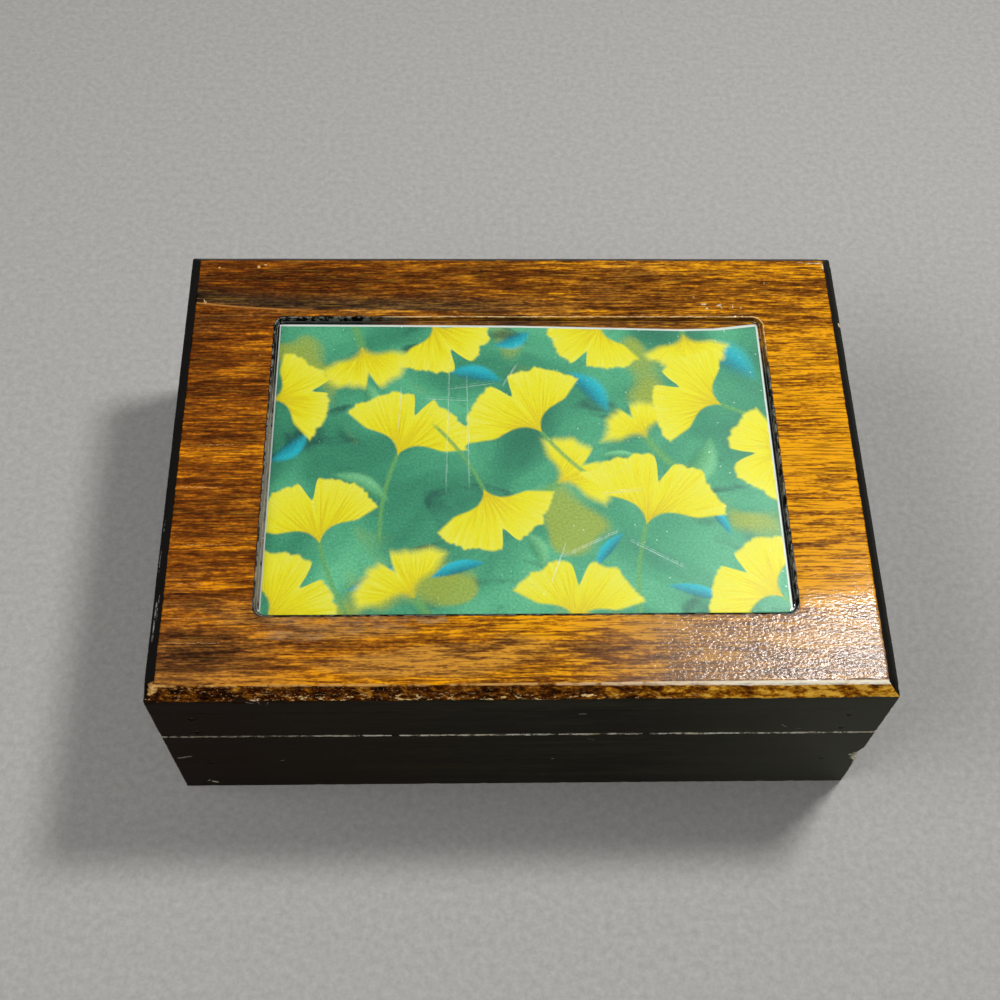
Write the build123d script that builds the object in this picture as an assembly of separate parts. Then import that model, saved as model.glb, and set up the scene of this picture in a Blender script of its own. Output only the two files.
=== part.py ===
from build123d import *
import math
import os

# A hinged wooden keepsake box. The lid carries a print behind a clear cover, let into its bevelled top.
# Millimetres. Origin: centre of the underside. +X is to the right, +Y to the back, +Z up.

# Overall size of the closed box
box_width = 210.0
box_depth = 155.0
base_height = 44.5
lid_rail_height = 18.6
lid_board_thickness = 12.0
seam_gap = 0.4

# Boards and edges
wall_thickness = 18.0
lid_bevel = 3.5
corner_ease = 0.8
seam_ease = 0.4

# Bottom panel, let flush into a rabbet round the base walls
panel_thickness = 5.0
rabbet_width = 7.0
panel_clearance = 0.2

# Felt linings inside the base and under the lid board
felt_thickness = 1.2
felt_clearance = 0.4

# Print and its clear cover, lying in a pocket routed into the lid board
print_width = 152.4
print_depth = 101.6
print_thickness = 0.3
print_clearance = 1.2
cover_thickness = 2.0
cover_clearance = 0.6
cover_set_down = 0.9
cover_edge_ease = 0.25
pocket_corner_radius = 3.2
pocket_shift_x = 1.5
pocket_shift_y = -1.0

# Hinges: their pin lies in a V groove along the back of the seam, whose two faces stop the open lid
hinge_setback = 45.0
hinge_inset = 2.6
opening_angle = 105.0
stop_margin = 0.6
leaf_length = 24.0
leaf_width = 11.0
leaf_thickness = 0.9
leaf_corner_radius = 1.0
mortise_clearance = 0.15
knuckle_radius = 1.8
knuckle_count = 3
knuckle_gap = 0.2
knuckle_swing_clearance = 0.15
barrel_relief = 0.35
pin_radius = 0.8
pin_fixed_clearance = 0.02
pin_running_clearance = 0.05
pin_head_radius = 1.3
pin_head_thickness = 0.5
pin_end_clearance = 0.4

# Hinge screws
screw_pitch = 13.0
screw_from_pin = 6.6
screw_length = 9.0
screw_tip_length = 2.2
screw_shank_radius = 0.85
screw_head_radius = 1.7
screw_head_height = 0.8
screw_slot_width = 0.35
screw_slot_depth = 0.35
screw_clearance = 0.05
screw_seat_clearance = 0.12

# Brads that pin the front and back boards to the ends of the side boards
brad_setback = 11.3
brad_radius = 0.45
brad_head_radius = 0.65
brad_head_thickness = 0.5
brad_length = 30.0
brad_set_depth = 0.3
brad_clearance = 0.03
base_brad_heights = [21.9]
lid_brad_heights = [3.8, 14.0]

# How far a cut runs on past the surface that it opens
overshoot = 1.0

# Where things follow from the sizes above
lid_bottom = base_height + seam_gap
lid_board_bottom = lid_bottom + lid_rail_height
box_height = lid_board_bottom + lid_board_thickness
inner_width = box_width - 2 * wall_thickness
inner_depth = box_depth - 2 * wall_thickness
pocket_width = print_width + 2 * print_clearance
pocket_depth = print_depth + 2 * print_clearance
pocket_floor = box_height - (cover_set_down + cover_thickness + print_thickness)
pin_y = box_depth / 2 - hinge_inset
pin_z = base_height + seam_gap / 2
hinge_x = box_width / 2 - hinge_setback
barrel_length = leaf_length
knuckle_length = (barrel_length - (knuckle_count - 1) * knuckle_gap) / knuckle_count
stop_slope = math.tan(math.radians((opening_angle + stop_margin) / 2))
screw_steps = (-screw_pitch / 2, screw_pitch / 2)

on_floor = (Align.CENTER, Align.CENTER, Align.MIN)


def block(width, depth, low, high, x=0.0, y=0.0):
    """A plain block between two heights, centred on x and y."""
    return Pos(x, y, low) * Box(width, depth, high - low, align=on_floor)


def spanning(low_x, high_x, low_y, high_y, low_z, high_z):
    """A plain block given by its two corners."""
    size = (high_x - low_x, high_y - low_y, high_z - low_z)
    return Pos(low_x, low_y, low_z) * Box(*size, align=(Align.MIN,) * 3)


def rod_along_x(radius, length, x, y, z):
    return Pos(x, y, z) * Rot(0, 90, 0) * Cylinder(radius, length)


def upright_edges(shape):
    return shape.edges().filter_by(Axis.Z)


def corner_edges(shape):
    """Every edge that climbs: the upright ones, and the ones up the corners of a bevel."""
    return [edge for edge in shape.edges() if edge.bounding_box().size.Z > corner_ease]


# Outer forms, which every board is trimmed to


def back_groove():
    """The V groove along the back of the seam. Both of its faces point at the hinge pins' axis."""
    reach = hinge_inset + overshoot
    drop = reach * stop_slope
    outline = Polygon((0, 0), (reach, drop), (reach, -drop), align=None)
    prism = extrude(Plane.YZ * outline, box_width / 2 + overshoot, both=True)
    return Pos(0, pin_y, pin_z) * prism


def base_form():
    form = fillet(upright_edges(block(box_width, box_depth, 0, base_height)), corner_ease)
    form = chamfer(form.faces().sort_by(Axis.Z)[-1].edges(), seam_ease)
    form = chamfer(form.faces().sort_by(Axis.Z)[0].edges(), seam_ease)
    return form - back_groove()


def lid_frame_form():
    form = block(box_width, box_depth, lid_bottom, lid_board_bottom)
    form = fillet(upright_edges(form), corner_ease)
    form = chamfer(form.faces().sort_by(Axis.Z)[0].edges(), seam_ease)
    return form - back_groove()


# Cuts shared by neighbouring pieces


def barrel_reliefs():
    """The round hollows that give the hinge barrels and their pin heads room in the wood."""
    length = barrel_length + 2 * (pin_head_thickness + pin_end_clearance)
    radius = knuckle_radius + barrel_relief
    return [rod_along_x(radius, length, side * hinge_x, pin_y, pin_z) for side in (-1, 1)]


def leaf_mortises(low, high):
    """The shallow seats for the hinge leaves, between two heights."""
    front = pin_y - leaf_width - mortise_clearance
    half = leaf_length / 2 + mortise_clearance
    return [
        spanning(side * hinge_x - half, side * hinge_x + half, front, box_depth / 2, low, high)
        for side in (-1, 1)
    ]


def screw_places():
    """The x and y of each screw in one leaf, for both hinges."""
    y = pin_y - screw_from_pin
    return [(side * hinge_x + step, y) for side in (-1, 1) for step in screw_steps]


def pilot_holes(seat, direction):
    """Holes for the hinge screws, going up or down from the face that the leaf lies on."""
    depth = screw_length + screw_clearance
    holes = []
    for x, y in screw_places():
        hole = Cylinder(screw_shank_radius + screw_clearance, depth, align=on_floor)
        turned = hole if direction > 0 else Rot(180, 0, 0) * hole
        holes.append(Pos(x, y, seat) * turned)
    return holes


def brad(radius_add=0.0, to_face=False):
    """A brad along +Y, its head's outer face at the origin. With to_face it is the hole for one."""
    shank = Cylinder(brad_radius + radius_add, brad_length + radius_add, align=on_floor)
    head_low = -brad_set_depth - overshoot if to_face else 0.0
    head_height = brad_head_thickness - head_low
    head = Pos(0, 0, head_low) * Cylinder(brad_head_radius + radius_add, head_height, align=on_floor)
    return Rot(-90, 0, 0) * (shank + head)


def brads(heights, floor, radius_add=0.0, to_face=False):
    """Brads, or their holes, at all four corners, at these heights above floor."""
    placed = []
    one = brad(radius_add, to_face)
    face = box_depth / 2 - brad_set_depth
    for side in (-1, 1):
        x = side * (box_width / 2 - brad_setback)
        for height in heights:
            z = floor + height
            placed.append(Pos(x, -face, z) * one)
            placed.append(Pos(x, face, z) * Rot(0, 0, 180) * one)
    return placed


# Boards


def frame_boards(low, high):
    """Front and back boards run the full width, and the side boards fit between them."""
    y = (box_depth - wall_thickness) / 2
    x = (box_width - wall_thickness) / 2
    return {
        "front": block(box_width, wall_thickness, low, high, 0, -y),
        "back": block(box_width, wall_thickness, low, high, 0, y),
        "left": block(wall_thickness, inner_depth, low, high, -x, 0),
        "right": block(wall_thickness, inner_depth, low, high, x, 0),
    }


def base_walls():
    form = base_form()
    rabbet = block(
        inner_width + 2 * (rabbet_width + panel_clearance),
        inner_depth + 2 * (rabbet_width + panel_clearance),
        -overshoot,
        panel_thickness,
    )
    seat = base_height - leaf_thickness
    holes = brads(base_brad_heights, 0.0, brad_clearance, to_face=True)
    cuts = [rabbet, *holes]
    mortises = leaf_mortises(seat, base_height + overshoot)
    hinge_cuts = barrel_reliefs() + mortises + pilot_holes(seat, -1)
    walls = {}
    for side, board in frame_boards(0.0, base_height).items():
        wall = (board & form) - cuts
        walls[f"base_{side}_wall"] = wall - hinge_cuts if side == "back" else wall
    return walls


def lid_rails():
    form = lid_frame_form()
    seat = lid_bottom + leaf_thickness
    holes = brads(lid_brad_heights, lid_bottom, brad_clearance, to_face=True)
    mortises = leaf_mortises(lid_bottom - overshoot, seat)
    hinge_cuts = barrel_reliefs() + mortises + pilot_holes(seat, 1)
    rails = {}
    for side, board in frame_boards(lid_bottom, lid_board_bottom).items():
        rail = (board & form) - holes
        rails[f"lid_{side}_rail"] = rail - hinge_cuts if side == "back" else rail
    return rails


def pocket_form(inset, radius, low, high):
    """A block with rounded corners, lying in the lid's pocket."""
    outline = RectangleRounded(pocket_width - 2 * inset, pocket_depth - 2 * inset, radius)
    return Pos(pocket_shift_x, pocket_shift_y, low) * extrude(outline, high - low)


def lid_top_board():
    board = block(box_width, box_depth, lid_board_bottom, box_height)
    board = chamfer(board.faces().sort_by(Axis.Z)[-1].edges(), lid_bevel)
    board = fillet(corner_edges(board), corner_ease)
    return board - pocket_form(0.0, pocket_corner_radius, pocket_floor, box_height + overshoot)


def base_bottom_panel():
    width = inner_width + 2 * rabbet_width
    depth = inner_depth + 2 * rabbet_width
    return block(width, depth, 0.0, panel_thickness)


def felt_pad(low):
    width = inner_width - 2 * felt_clearance
    depth = inner_depth - 2 * felt_clearance
    return block(width, depth, low, low + felt_thickness)


# Print and cover


def picture_print():
    low = pocket_floor
    return block(print_width, print_depth, low, low + print_thickness, pocket_shift_x, pocket_shift_y)


def picture_cover():
    low = pocket_floor + print_thickness
    radius = pocket_corner_radius - cover_clearance
    cover = pocket_form(cover_clearance, radius, low, low + cover_thickness)
    return chamfer(cover.faces().sort_by(Axis.Z)[-1].edges(), cover_edge_ease)


# Hinges


def knuckle_centre(index):
    return (index - (knuckle_count - 1) / 2) * (knuckle_length + knuckle_gap)


def hinge_leaf(x, direction):
    """One leaf with its knuckles, above the seam (+1) or below it (-1)."""
    own = [i for i in range(knuckle_count) if (i % 2 == 1) == (direction > 0)]
    others = [i for i in range(knuckle_count) if i not in own]
    face = direction * seam_gap / 2
    low, high = sorted((face, face + direction * leaf_thickness))
    plate = spanning(-leaf_length / 2, leaf_length / 2, -leaf_width, 0, low, high)
    leaf = fillet(upright_edges(plate).group_by(Axis.Y)[0], leaf_corner_radius)
    for i in own:
        leaf = leaf + rod_along_x(knuckle_radius, knuckle_length, knuckle_centre(i), 0, 0)
    for i in others:
        room = knuckle_length + 2 * knuckle_gap
        leaf = leaf - rod_along_x(
            knuckle_radius + knuckle_swing_clearance, room, knuckle_centre(i), 0, 0
        )
    bore = pin_radius + (pin_running_clearance if direction > 0 else pin_fixed_clearance)
    leaf = leaf - rod_along_x(bore, barrel_length + 2 * overshoot, 0, 0, 0)
    hole = Rot(180, 0, 0) * screw_hole_in_leaf() if direction > 0 else screw_hole_in_leaf()
    for step in screw_steps:
        leaf = leaf - Pos(step, -screw_from_pin, face) * hole
    return Pos(x, pin_y, pin_z) * leaf


def screw_hole_in_leaf():
    """A countersunk hole from its mouth at the origin, going down."""
    shank = screw_shank_radius + screw_seat_clearance
    mouth = screw_head_radius + screw_seat_clearance
    cone = Pos(0, 0, -screw_head_height / 2) * Cone(shank, mouth, screw_head_height)
    through = Cylinder(shank, 2 * (leaf_thickness + overshoot))
    return cone + through


def hinge_pin(x):
    grip = barrel_length + pin_end_clearance
    pin = rod_along_x(pin_radius, grip, 0, 0, 0)
    for side in (-1, 1):
        place = side * (grip + pin_head_thickness) / 2
        head = rod_along_x(pin_head_radius, pin_head_thickness, place, 0, 0)
        pin = pin + head
    return Pos(x, pin_y, pin_z) * pin


def screw():
    """A countersunk wood screw with a slotted head, its head's face at the origin, pointing down."""
    cone = Pos(0, 0, -screw_head_height / 2) * Cone(
        screw_shank_radius, screw_head_radius, screw_head_height
    )
    shank_length = screw_length - screw_tip_length
    shank = Pos(0, 0, -shank_length / 2) * Cylinder(screw_shank_radius, shank_length)
    tip = Pos(0, 0, -shank_length - screw_tip_length / 2) * Cone(
        0.0, screw_shank_radius, screw_tip_length
    )
    slot = Box(2 * (screw_head_radius + overshoot), screw_slot_width, 2 * screw_slot_depth)
    return cone + shank + tip - slot


def hinge_screws(x, direction):
    """The two screws of one leaf, set just under its face."""
    face = pin_z + direction * (seam_gap / 2 + screw_clearance)
    one = Rot(180, 0, 0) * screw() if direction > 0 else screw()
    y = pin_y - screw_from_pin
    return Compound([Pos(x + step, y, face) * one for step in screw_steps])


def hinge_pieces():
    pieces = {}
    for name, side in (("left", -1), ("right", 1)):
        x = side * hinge_x
        pieces[f"{name}_hinge_base_leaf"] = hinge_leaf(x, -1)
        pieces[f"{name}_hinge_lid_leaf"] = hinge_leaf(x, 1)
        pieces[f"{name}_hinge_pin"] = hinge_pin(x)
        pieces[f"{name}_hinge_base_screws"] = hinge_screws(x, -1)
        pieces[f"{name}_hinge_lid_screws"] = hinge_screws(x, 1)
    return pieces


def all_pieces():
    return {
        **base_walls(),
        "base_bottom_panel": base_bottom_panel(),
        "base_felt_lining": felt_pad(panel_thickness),
        "base_corner_brads": Compound(brads(base_brad_heights, 0.0)),
        **lid_rails(),
        "lid_top_board": lid_top_board(),
        "lid_felt_lining": felt_pad(lid_board_bottom - felt_thickness),
        "lid_corner_brads": Compound(brads(lid_brad_heights, lid_bottom)),
        "picture_print": picture_print(),
        "picture_cover": picture_cover(),
        **hinge_pieces(),
    }


os.makedirs("parts", exist_ok=True)
for node, shape in all_pieces().items():
    export_step(shape, f"parts/{node}.step")
    print(node, len(shape.solids()), round(shape.volume, 1))
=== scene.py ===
# %% [markdown]
# # A hinged wooden keepsake box with a print in its lid
#
# The real box is a base of four boards nailed at the corners, and a lid of four rails under one thick
# board. The board is brown under gloss varnish, everything else is stained black, and a photo print lies in
# a pocket cut into the board, under a sheet of clear acrylic. The CAD model already holds every piece at
# its real size. This script gives each of them its surface: new meshes where wear changes the shape, and
# procedural materials everywhere.

# %% Load the CAD model
import math

import bpy
import numpy as np
from mathutils import Matrix, Vector, noise


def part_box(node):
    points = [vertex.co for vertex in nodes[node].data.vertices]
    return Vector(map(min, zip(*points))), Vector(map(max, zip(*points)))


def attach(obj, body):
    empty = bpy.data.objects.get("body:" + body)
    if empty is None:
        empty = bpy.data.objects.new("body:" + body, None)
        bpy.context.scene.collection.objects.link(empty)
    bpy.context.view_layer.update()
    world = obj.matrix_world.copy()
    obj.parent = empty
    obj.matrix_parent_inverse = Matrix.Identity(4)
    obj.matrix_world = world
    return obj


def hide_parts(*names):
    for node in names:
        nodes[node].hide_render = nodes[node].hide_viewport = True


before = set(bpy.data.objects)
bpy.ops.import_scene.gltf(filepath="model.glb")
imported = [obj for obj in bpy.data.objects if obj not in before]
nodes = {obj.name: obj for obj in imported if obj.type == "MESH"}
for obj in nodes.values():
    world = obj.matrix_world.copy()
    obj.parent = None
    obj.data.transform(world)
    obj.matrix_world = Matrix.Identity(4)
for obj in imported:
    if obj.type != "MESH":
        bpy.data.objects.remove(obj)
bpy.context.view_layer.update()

# %% [markdown]
# ## Sizes
#
# Nothing is measured twice. The outline of the box, the seam and the pocket are read from the CAD pieces,
# and only what belongs to the finish, such as how far an edge is worn, gets a value of its own here.
# Everything is in metres, so a millimetre gets a name.

# %% Read the sizes from the CAD pieces
mm = 0.001

board_low, board_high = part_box("lid_top_board")
print_low, print_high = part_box("picture_print")
cover_low, cover_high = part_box("picture_cover")

half_width = board_high.x
half_depth = board_high.y
base_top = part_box("base_front_wall")[1].z
lid_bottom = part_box("lid_front_rail")[0].z
box_top = board_high.z

bevel = 3.5 * mm
corner_ease = 0.8 * mm
edge_ease = 0.45 * mm
joint_ease = 0.12 * mm
cover_gap = 0.6 * mm
pocket_radius = 3.2 * mm

pocket_centre = (cover_low + cover_high) / 2
pocket_half_x = (cover_high.x - cover_low.x) / 2 + cover_gap
pocket_half_y = (cover_high.y - cover_low.y) / 2 + cover_gap
print("Box", [round(v / mm, 1) for v in (2 * half_width, 2 * half_depth, box_top)], "mm")

# %% [markdown]
# ## Camera
#
# The photograph was taken from in front and high above. Its viewpoint was found from the corners of the
# box, so the camera is given by where it stands, where it looks and which way is right.

# %% Set the camera
camera_place = Vector((-0.01636, -0.22397, 0.44272))
camera_forward = Vector((0.0251, 0.4928, -0.8698)).normalized()
camera_right = Vector((0.9997, -0.0151, 0.0203)).normalized()
camera_lens = 51.44

camera_up = camera_right.cross(camera_forward)
turn = Matrix((camera_right, camera_up, -camera_forward)).transposed()
camera = bpy.data.objects.new("camera", bpy.data.cameras.new("camera"))
camera.data.lens = camera_lens
camera.data.sensor_width = 36
camera.data.clip_start = 0.01
camera.matrix_world = Matrix.Translation(camera_place) @ turn.to_4x4()
bpy.context.scene.collection.objects.link(camera)
bpy.context.scene.camera = camera
print("Camera looks down by", round(math.degrees(math.asin(-camera_forward.z))), "degrees")

# %% [markdown]
# ## Mesh helpers
#
# A board could be a cube with a Bevel modifier, but then every part of it is equally coarse, and dents
# would need a sculpting pass. Here a board is a box of grid lines instead. The lines stand close together
# only where something happens, at the edges, in a chip or round a nail, and the vertices there can be
# moved by a plain function of their place.

# %% Build meshes
edge_steps = (0.06, 0.12, 0.25, 0.45, 0.62, 0.8, 1.1)
least_gap = 0.04 * mm


def new_piece(name, points, faces, smooth=True):
    """A mesh object from plain points and faces."""
    mesh = bpy.data.meshes.new(name)
    mesh.from_pydata([tuple(p) for p in points], [], faces)
    mesh.polygons.foreach_set("use_smooth", [smooth] * len(mesh.polygons))
    mesh.validate()
    piece = bpy.data.objects.new(name, mesh)
    bpy.context.scene.collection.objects.link(piece)
    return piece


def grid_lines(low, high, gap, finer=()):
    """Places from low to high, gap apart, closer at both ends and in each (start, stop, gap) patch."""
    places = list(np.linspace(low, high, max(2, round((high - low) / gap) + 1)))
    for distance in edge_steps:
        places += [low + distance * mm, high - distance * mm]
    for start, stop, small in finer:
        places += list(np.arange(max(low, start), min(high, stop), small))
    kept = [low]
    for place in sorted(places):
        if place - kept[-1] > least_gap and high - place > least_gap:
            kept.append(place)
    return np.array(kept + [high])


def box_of_lines(xs, ys, zs):
    """The points and the four-sided faces of a box whose sides are cut along these lines."""
    index, points, faces = {}, [], []

    def at(i, j, k):
        if (i, j, k) not in index:
            index[i, j, k] = len(points)
            points.append((xs[i], ys[j], zs[k]))
        return index[i, j, k]

    last_x, last_y, last_z = len(xs) - 1, len(ys) - 1, len(zs) - 1
    for j in range(last_y):
        for k in range(last_z):
            for i, step in ((0, 1), (last_x, -1)):
                ring = [at(i, j, k), at(i, j, k + 1), at(i, j + 1, k + 1), at(i, j + 1, k)]
                faces.append(ring[::step])
    for i in range(last_x):
        for k in range(last_z):
            for j, step in ((0, 1), (last_y, -1)):
                ring = [at(i, j, k), at(i + 1, j, k), at(i + 1, j, k + 1), at(i, j, k + 1)]
                faces.append(ring[::step])
        for j in range(last_y):
            for k, step in ((0, 1), (last_z, -1)):
                ring = [at(i, j, k), at(i, j + 1, k), at(i + 1, j + 1, k), at(i + 1, j, k)]
                faces.append(ring[::step])
    return np.array(points), faces


print("Grid lines stand at least", least_gap / mm, "mm apart")

# %% Round edges and make lumps
def round_edges(points, low, high, radius, pairs=((0, 1), (0, 2), (1, 2))):
    """Rounds the edges of the box from low to high, between each pair of its axes."""
    centre = (np.array(low) + np.array(high)) / 2
    core = (np.array(high) - np.array(low)) / 2 - radius
    for a, b in pairs:
        offset = points - centre
        over_a = np.abs(offset[:, a]) - core[a]
        over_b = np.abs(offset[:, b]) - core[b]
        length = np.hypot(over_a, over_b)
        outside = (over_a > 0) & (over_b > 0) & (length > radius)
        shrink = radius / length[outside]
        for axis, over in ((a, over_a), (b, over_b)):
            sign = np.sign(offset[outside, axis])
            points[outside, axis] = centre[axis] + sign * (core[axis] + over[outside] * shrink)
    return points


def roughness_of(points, size, seed=0.0, depth=2):
    """Smooth noise from -1 to 1 at each point. size is how long a lump is along x, y and z."""
    scaled = points / np.array(size) + seed
    return np.array([noise.fractal(Vector(p), 0.9, 2.0, depth) for p in scaled])


print("Mesh helpers ready")

# %% [markdown]
# ## The lid board
#
# This is the piece that everybody sees: a 12 mm board with a routed pocket and a bevel all round. It is
# lofted from closed outlines that all have the same number of points, starting on the pocket's floor, up
# its wall, out over the top, down the bevel and the side and in again underneath. A boolean would leave
# long thin faces, while these rings put many small ones just where the edge is worn.

# %% Outlines for the rings of the board
front_points = 420
side_points = 150
corner_points = 7


def outline(centre_x, centre_y, half_x, half_y, radius):
    """A closed rectangle with rounded corners, from the front left corner round through the front."""
    points = []
    legs = (
        ((1, 0), front_points, (half_x - radius, -half_y), -90),
        ((0, 1), side_points, (half_x, half_y - radius), 0),
        ((-1, 0), front_points, (-half_x + radius, half_y), 90),
        ((0, -1), side_points, (-half_x, -half_y + radius), 180),
    )
    for (along_x, along_y), count, end, start_angle in legs:
        length = 2 * (half_x - radius) if along_x else 2 * (half_y - radius)
        for step in range(count):
            back = length * (1 - step / count)
            points.append((end[0] - along_x * back, end[1] - along_y * back))
        inner = (end[0] if along_x else end[0] - radius * along_y,
                 end[1] if along_y else end[1] + radius * along_x)
        for step in range(corner_points):
            angle = math.radians(start_angle + 90 * step / corner_points)
            points.append((inner[0] + radius * math.cos(angle), inner[1] + radius * math.sin(angle)))
    return np.array(points) + (centre_x, centre_y)


def loft(rings):
    """Joins (outline, height) rings into one closed skin, and closes its first and last ring."""
    count = len(rings[0][0])
    points = np.vstack([np.column_stack((flat, np.full(count, z))) for flat, z in rings])
    faces = []
    for ring in range(len(rings) - 1):
        start, above = ring * count, (ring + 1) * count
        for step in range(count):
            after = (step + 1) % count
            faces.append((start + step, start + after, above + after, above + step))
    faces.append(list(range(count))[::-1])
    faces.append([len(points) - count + step for step in range(count)])
    return points, [face[::-1] for face in faces]


print("Each outline has", 2 * front_points + 2 * side_points + 4 * corner_points, "points")

# %% List the rings of the board, from the pocket's floor to its underside
lip = 0.3 * mm
arris = 0.35 * mm
floor_insets = ((6.0, 0), (0.35, 0), (0.1, 0.08), (0, 0.3))
top_shares = (0.02, 0.08, 0.18, 0.3, 0.42, 0.54, 0.66, 0.78, 0.88, 0.95, 0.98, 1.0)
side_drops = (0.3, 0.8, 2.0, 3.5, 5.0, 6.5, 7.6, 8.2, 8.38)
underside_insets = ((0.05, 0.05), (0.12, 0.0), (4.0, 0.0), (30.0, 0.0))
bevel_rings = 15
pocket = (pocket_centre.x, pocket_centre.y)
rings = []

for inset, height in floor_insets:
    flat = outline(*pocket, pocket_half_x - inset * mm, pocket_half_y - inset * mm, pocket_radius)
    rings.append((flat, print_low.z + height * mm))
for rise in (0.35, 0.7, 1.0):
    flat = outline(*pocket, pocket_half_x, pocket_half_y, pocket_radius)
    rings.append((flat, print_low.z + rise * (box_top - lip - print_low.z)))
for angle in (25, 50, 75, 90):
    out = lip * (1 - math.cos(math.radians(angle)))
    up = lip * math.sin(math.radians(angle))
    flat = outline(*pocket, pocket_half_x + out, pocket_half_y + out, pocket_radius + out)
    rings.append((flat, box_top - lip + up))

pocket_lip = outline(*pocket, pocket_half_x + lip, pocket_half_y + lip, pocket_radius + lip)
top_edge = outline(0, 0, half_width - bevel - arris, half_depth - bevel - arris, corner_ease)
for share in top_shares:
    rings.append((pocket_lip * (1 - share) + top_edge * share, box_top))

for share in np.linspace(top_shares[0], 1.0, bevel_rings):
    inset = bevel * (1 - share)
    flat = outline(0, 0, half_width - inset, half_depth - inset, corner_ease)
    rings.append((flat, box_top - bevel * share))

for drop in side_drops:
    rings.append((outline(0, 0, half_width, half_depth, corner_ease), box_top - bevel - drop * mm))
for inset, rise in underside_insets:
    flat = outline(0, 0, half_width - inset * mm, half_depth - inset * mm, corner_ease)
    rings.append((flat, board_low.z + rise * mm))

board_points, board_faces = loft(rings)
print("Lid board:", len(rings), "rings of", len(rings[0][0]), "points")

# %% [markdown]
# The bevel was cut by hand and is rough: short gouges run along it, slanted in its right half, and the
# corners are knocked. Real depth is needed here, because light glances off every facet, so the bevel's
# vertices are pushed in along its slope by noise that is stretched along the wood.

# %% Roughen the bevel and knock the corners
gouge_size = (3.4 * mm, 1.4 * mm, 1.2 * mm)
wobble_size = (16 * mm, 9 * mm, 9 * mm)
knock_lump = (1.2 * mm, 1.2 * mm, 1.2 * mm)
torn_lump = (1.6 * mm, 1.6 * mm, 1.6 * mm)
bevel_fade = 1.0 * mm
slant_slope = 1.6
gouge_depth = 0.32 * mm
wobble_depth = 0.16 * mm
rim_depth = 0.35 * mm
rim_reach = 0.8 * mm
knocks = (
    (Vector((-half_width, -half_depth, box_top - 1.5 * mm)), 4.2 * mm, 0.9 * mm),
    (Vector((half_width, -half_depth, box_top - 1.0 * mm)), 2.4 * mm, 0.4 * mm),
    (Vector((half_width, half_depth, box_top)), 4.5 * mm, 0.5 * mm),
    (Vector((-78 * mm, -half_depth, box_top - 3.2 * mm)), 2.2 * mm, 0.7 * mm),
)


def near_bevel(points):
    """1 on the bevel and 0 away from it, falling off over a millimetre on both sides."""
    inset = np.minimum(half_width - np.abs(points[:, 0]), half_depth - np.abs(points[:, 1]))
    drop = box_top - points[:, 2]
    past = np.maximum(inset - bevel, drop - bevel)
    return np.clip(1 - np.maximum(past, 0) / bevel_fade, 0, 1)


def outward(points):
    """The direction out of the bevel at each point: up, and away from the nearest sides."""
    away = np.zeros_like(points)
    for axis, half in ((0, half_width), (1, half_depth)):
        over = np.abs(points[:, axis]) - (half - bevel - 0.5 * mm)
        away[:, axis] = np.sign(points[:, axis]) * np.clip(over / bevel, 0, 1)
    away[:, 2] = np.clip(1 - (box_top - points[:, 2]) / bevel, 0, 1) + 0.3
    return away / np.linalg.norm(away, axis=1)[:, None]


def wear_bevel(points):
    """Pushes gouges, a wobble and knocks into the bevel."""
    weight = near_bevel(points)
    worn = np.nonzero(weight > 0)[0]
    at = points[worn]
    on_front = np.clip((-half_depth + bevel + 1.5 * mm - at[:, 1]) / (1.5 * mm), 0, 1)
    slant = np.clip((at[:, 0] + 10 * mm) / (60 * mm), 0, 1)
    slanted = at.copy()
    slanted[:, 0] += slant * slant_slope * (at[:, 2] - box_top)
    long_gouges = roughness_of(slanted, gouge_size, 7.3, 3)
    wobble = roughness_of(at, wobble_size, 2.1)
    depth = on_front * gouge_depth * np.clip(long_gouges + 0.15, 0, 1)
    depth += wobble_depth * np.clip(wobble + 0.4, 0, 1) * (0.4 + 0.6 * on_front)
    for place, reach, deep in knocks:
        distance = np.linalg.norm(at - np.array(place), axis=1)
        lumps = 1 + 0.35 * roughness_of(at, knock_lump, 4.4)
        depth += deep * np.clip(1.2 - distance / (reach * lumps), 0, 1)
    moved = points.copy()
    moved[worn] -= outward(at) * (depth * weight[worn])[:, None]
    return moved, depth.max()


def rub_pocket_rim(points):
    """Lowers the pocket's rim here and there, where the router tore the wood."""
    past_x = np.abs(points[:, 0] - pocket_centre.x) - pocket_half_x
    past_y = np.abs(points[:, 1] - pocket_centre.y) - pocket_half_y
    past = np.maximum(past_x, past_y)
    at_rim = (past > -0.1 * mm) & (past < rim_reach) & (points[:, 2] > box_top - 0.5 * mm)
    torn = np.clip(roughness_of(points[at_rim], torn_lump, 6.6, 3), 0, 1)
    points[at_rim, 2] -= rim_depth * torn * (1 - np.clip(past[at_rim] / rim_reach, 0, 1))


print("Knocks:", len(knocks), "and gouges up to", round(gouge_depth / mm, 2), "mm deep")

# %% Wear the board and make it
board_points, deepest = wear_bevel(board_points)
rub_pocket_rim(board_points)
lid_board = new_piece("lid_board", board_points, board_faces)
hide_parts("lid_top_board")
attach(lid_board, "lid")
print("Lid board:", len(board_faces), "faces, deepest wear", round(deepest / mm, 2), "mm")

# %% [markdown]
# ## The boards of the base and the lid's rails
#
# The front boards run the full width and hide the ends of the side boards, so each side of the box shows
# two stripes of end grain. Every board gets a hair of easing along its own edges, which is what draws the
# joints, and a larger one where it forms the outside of the box. The front base board has lost a splinter
# at its right corner. The back boards carry the hinge seats, so they stay as CAD made them.

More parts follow.
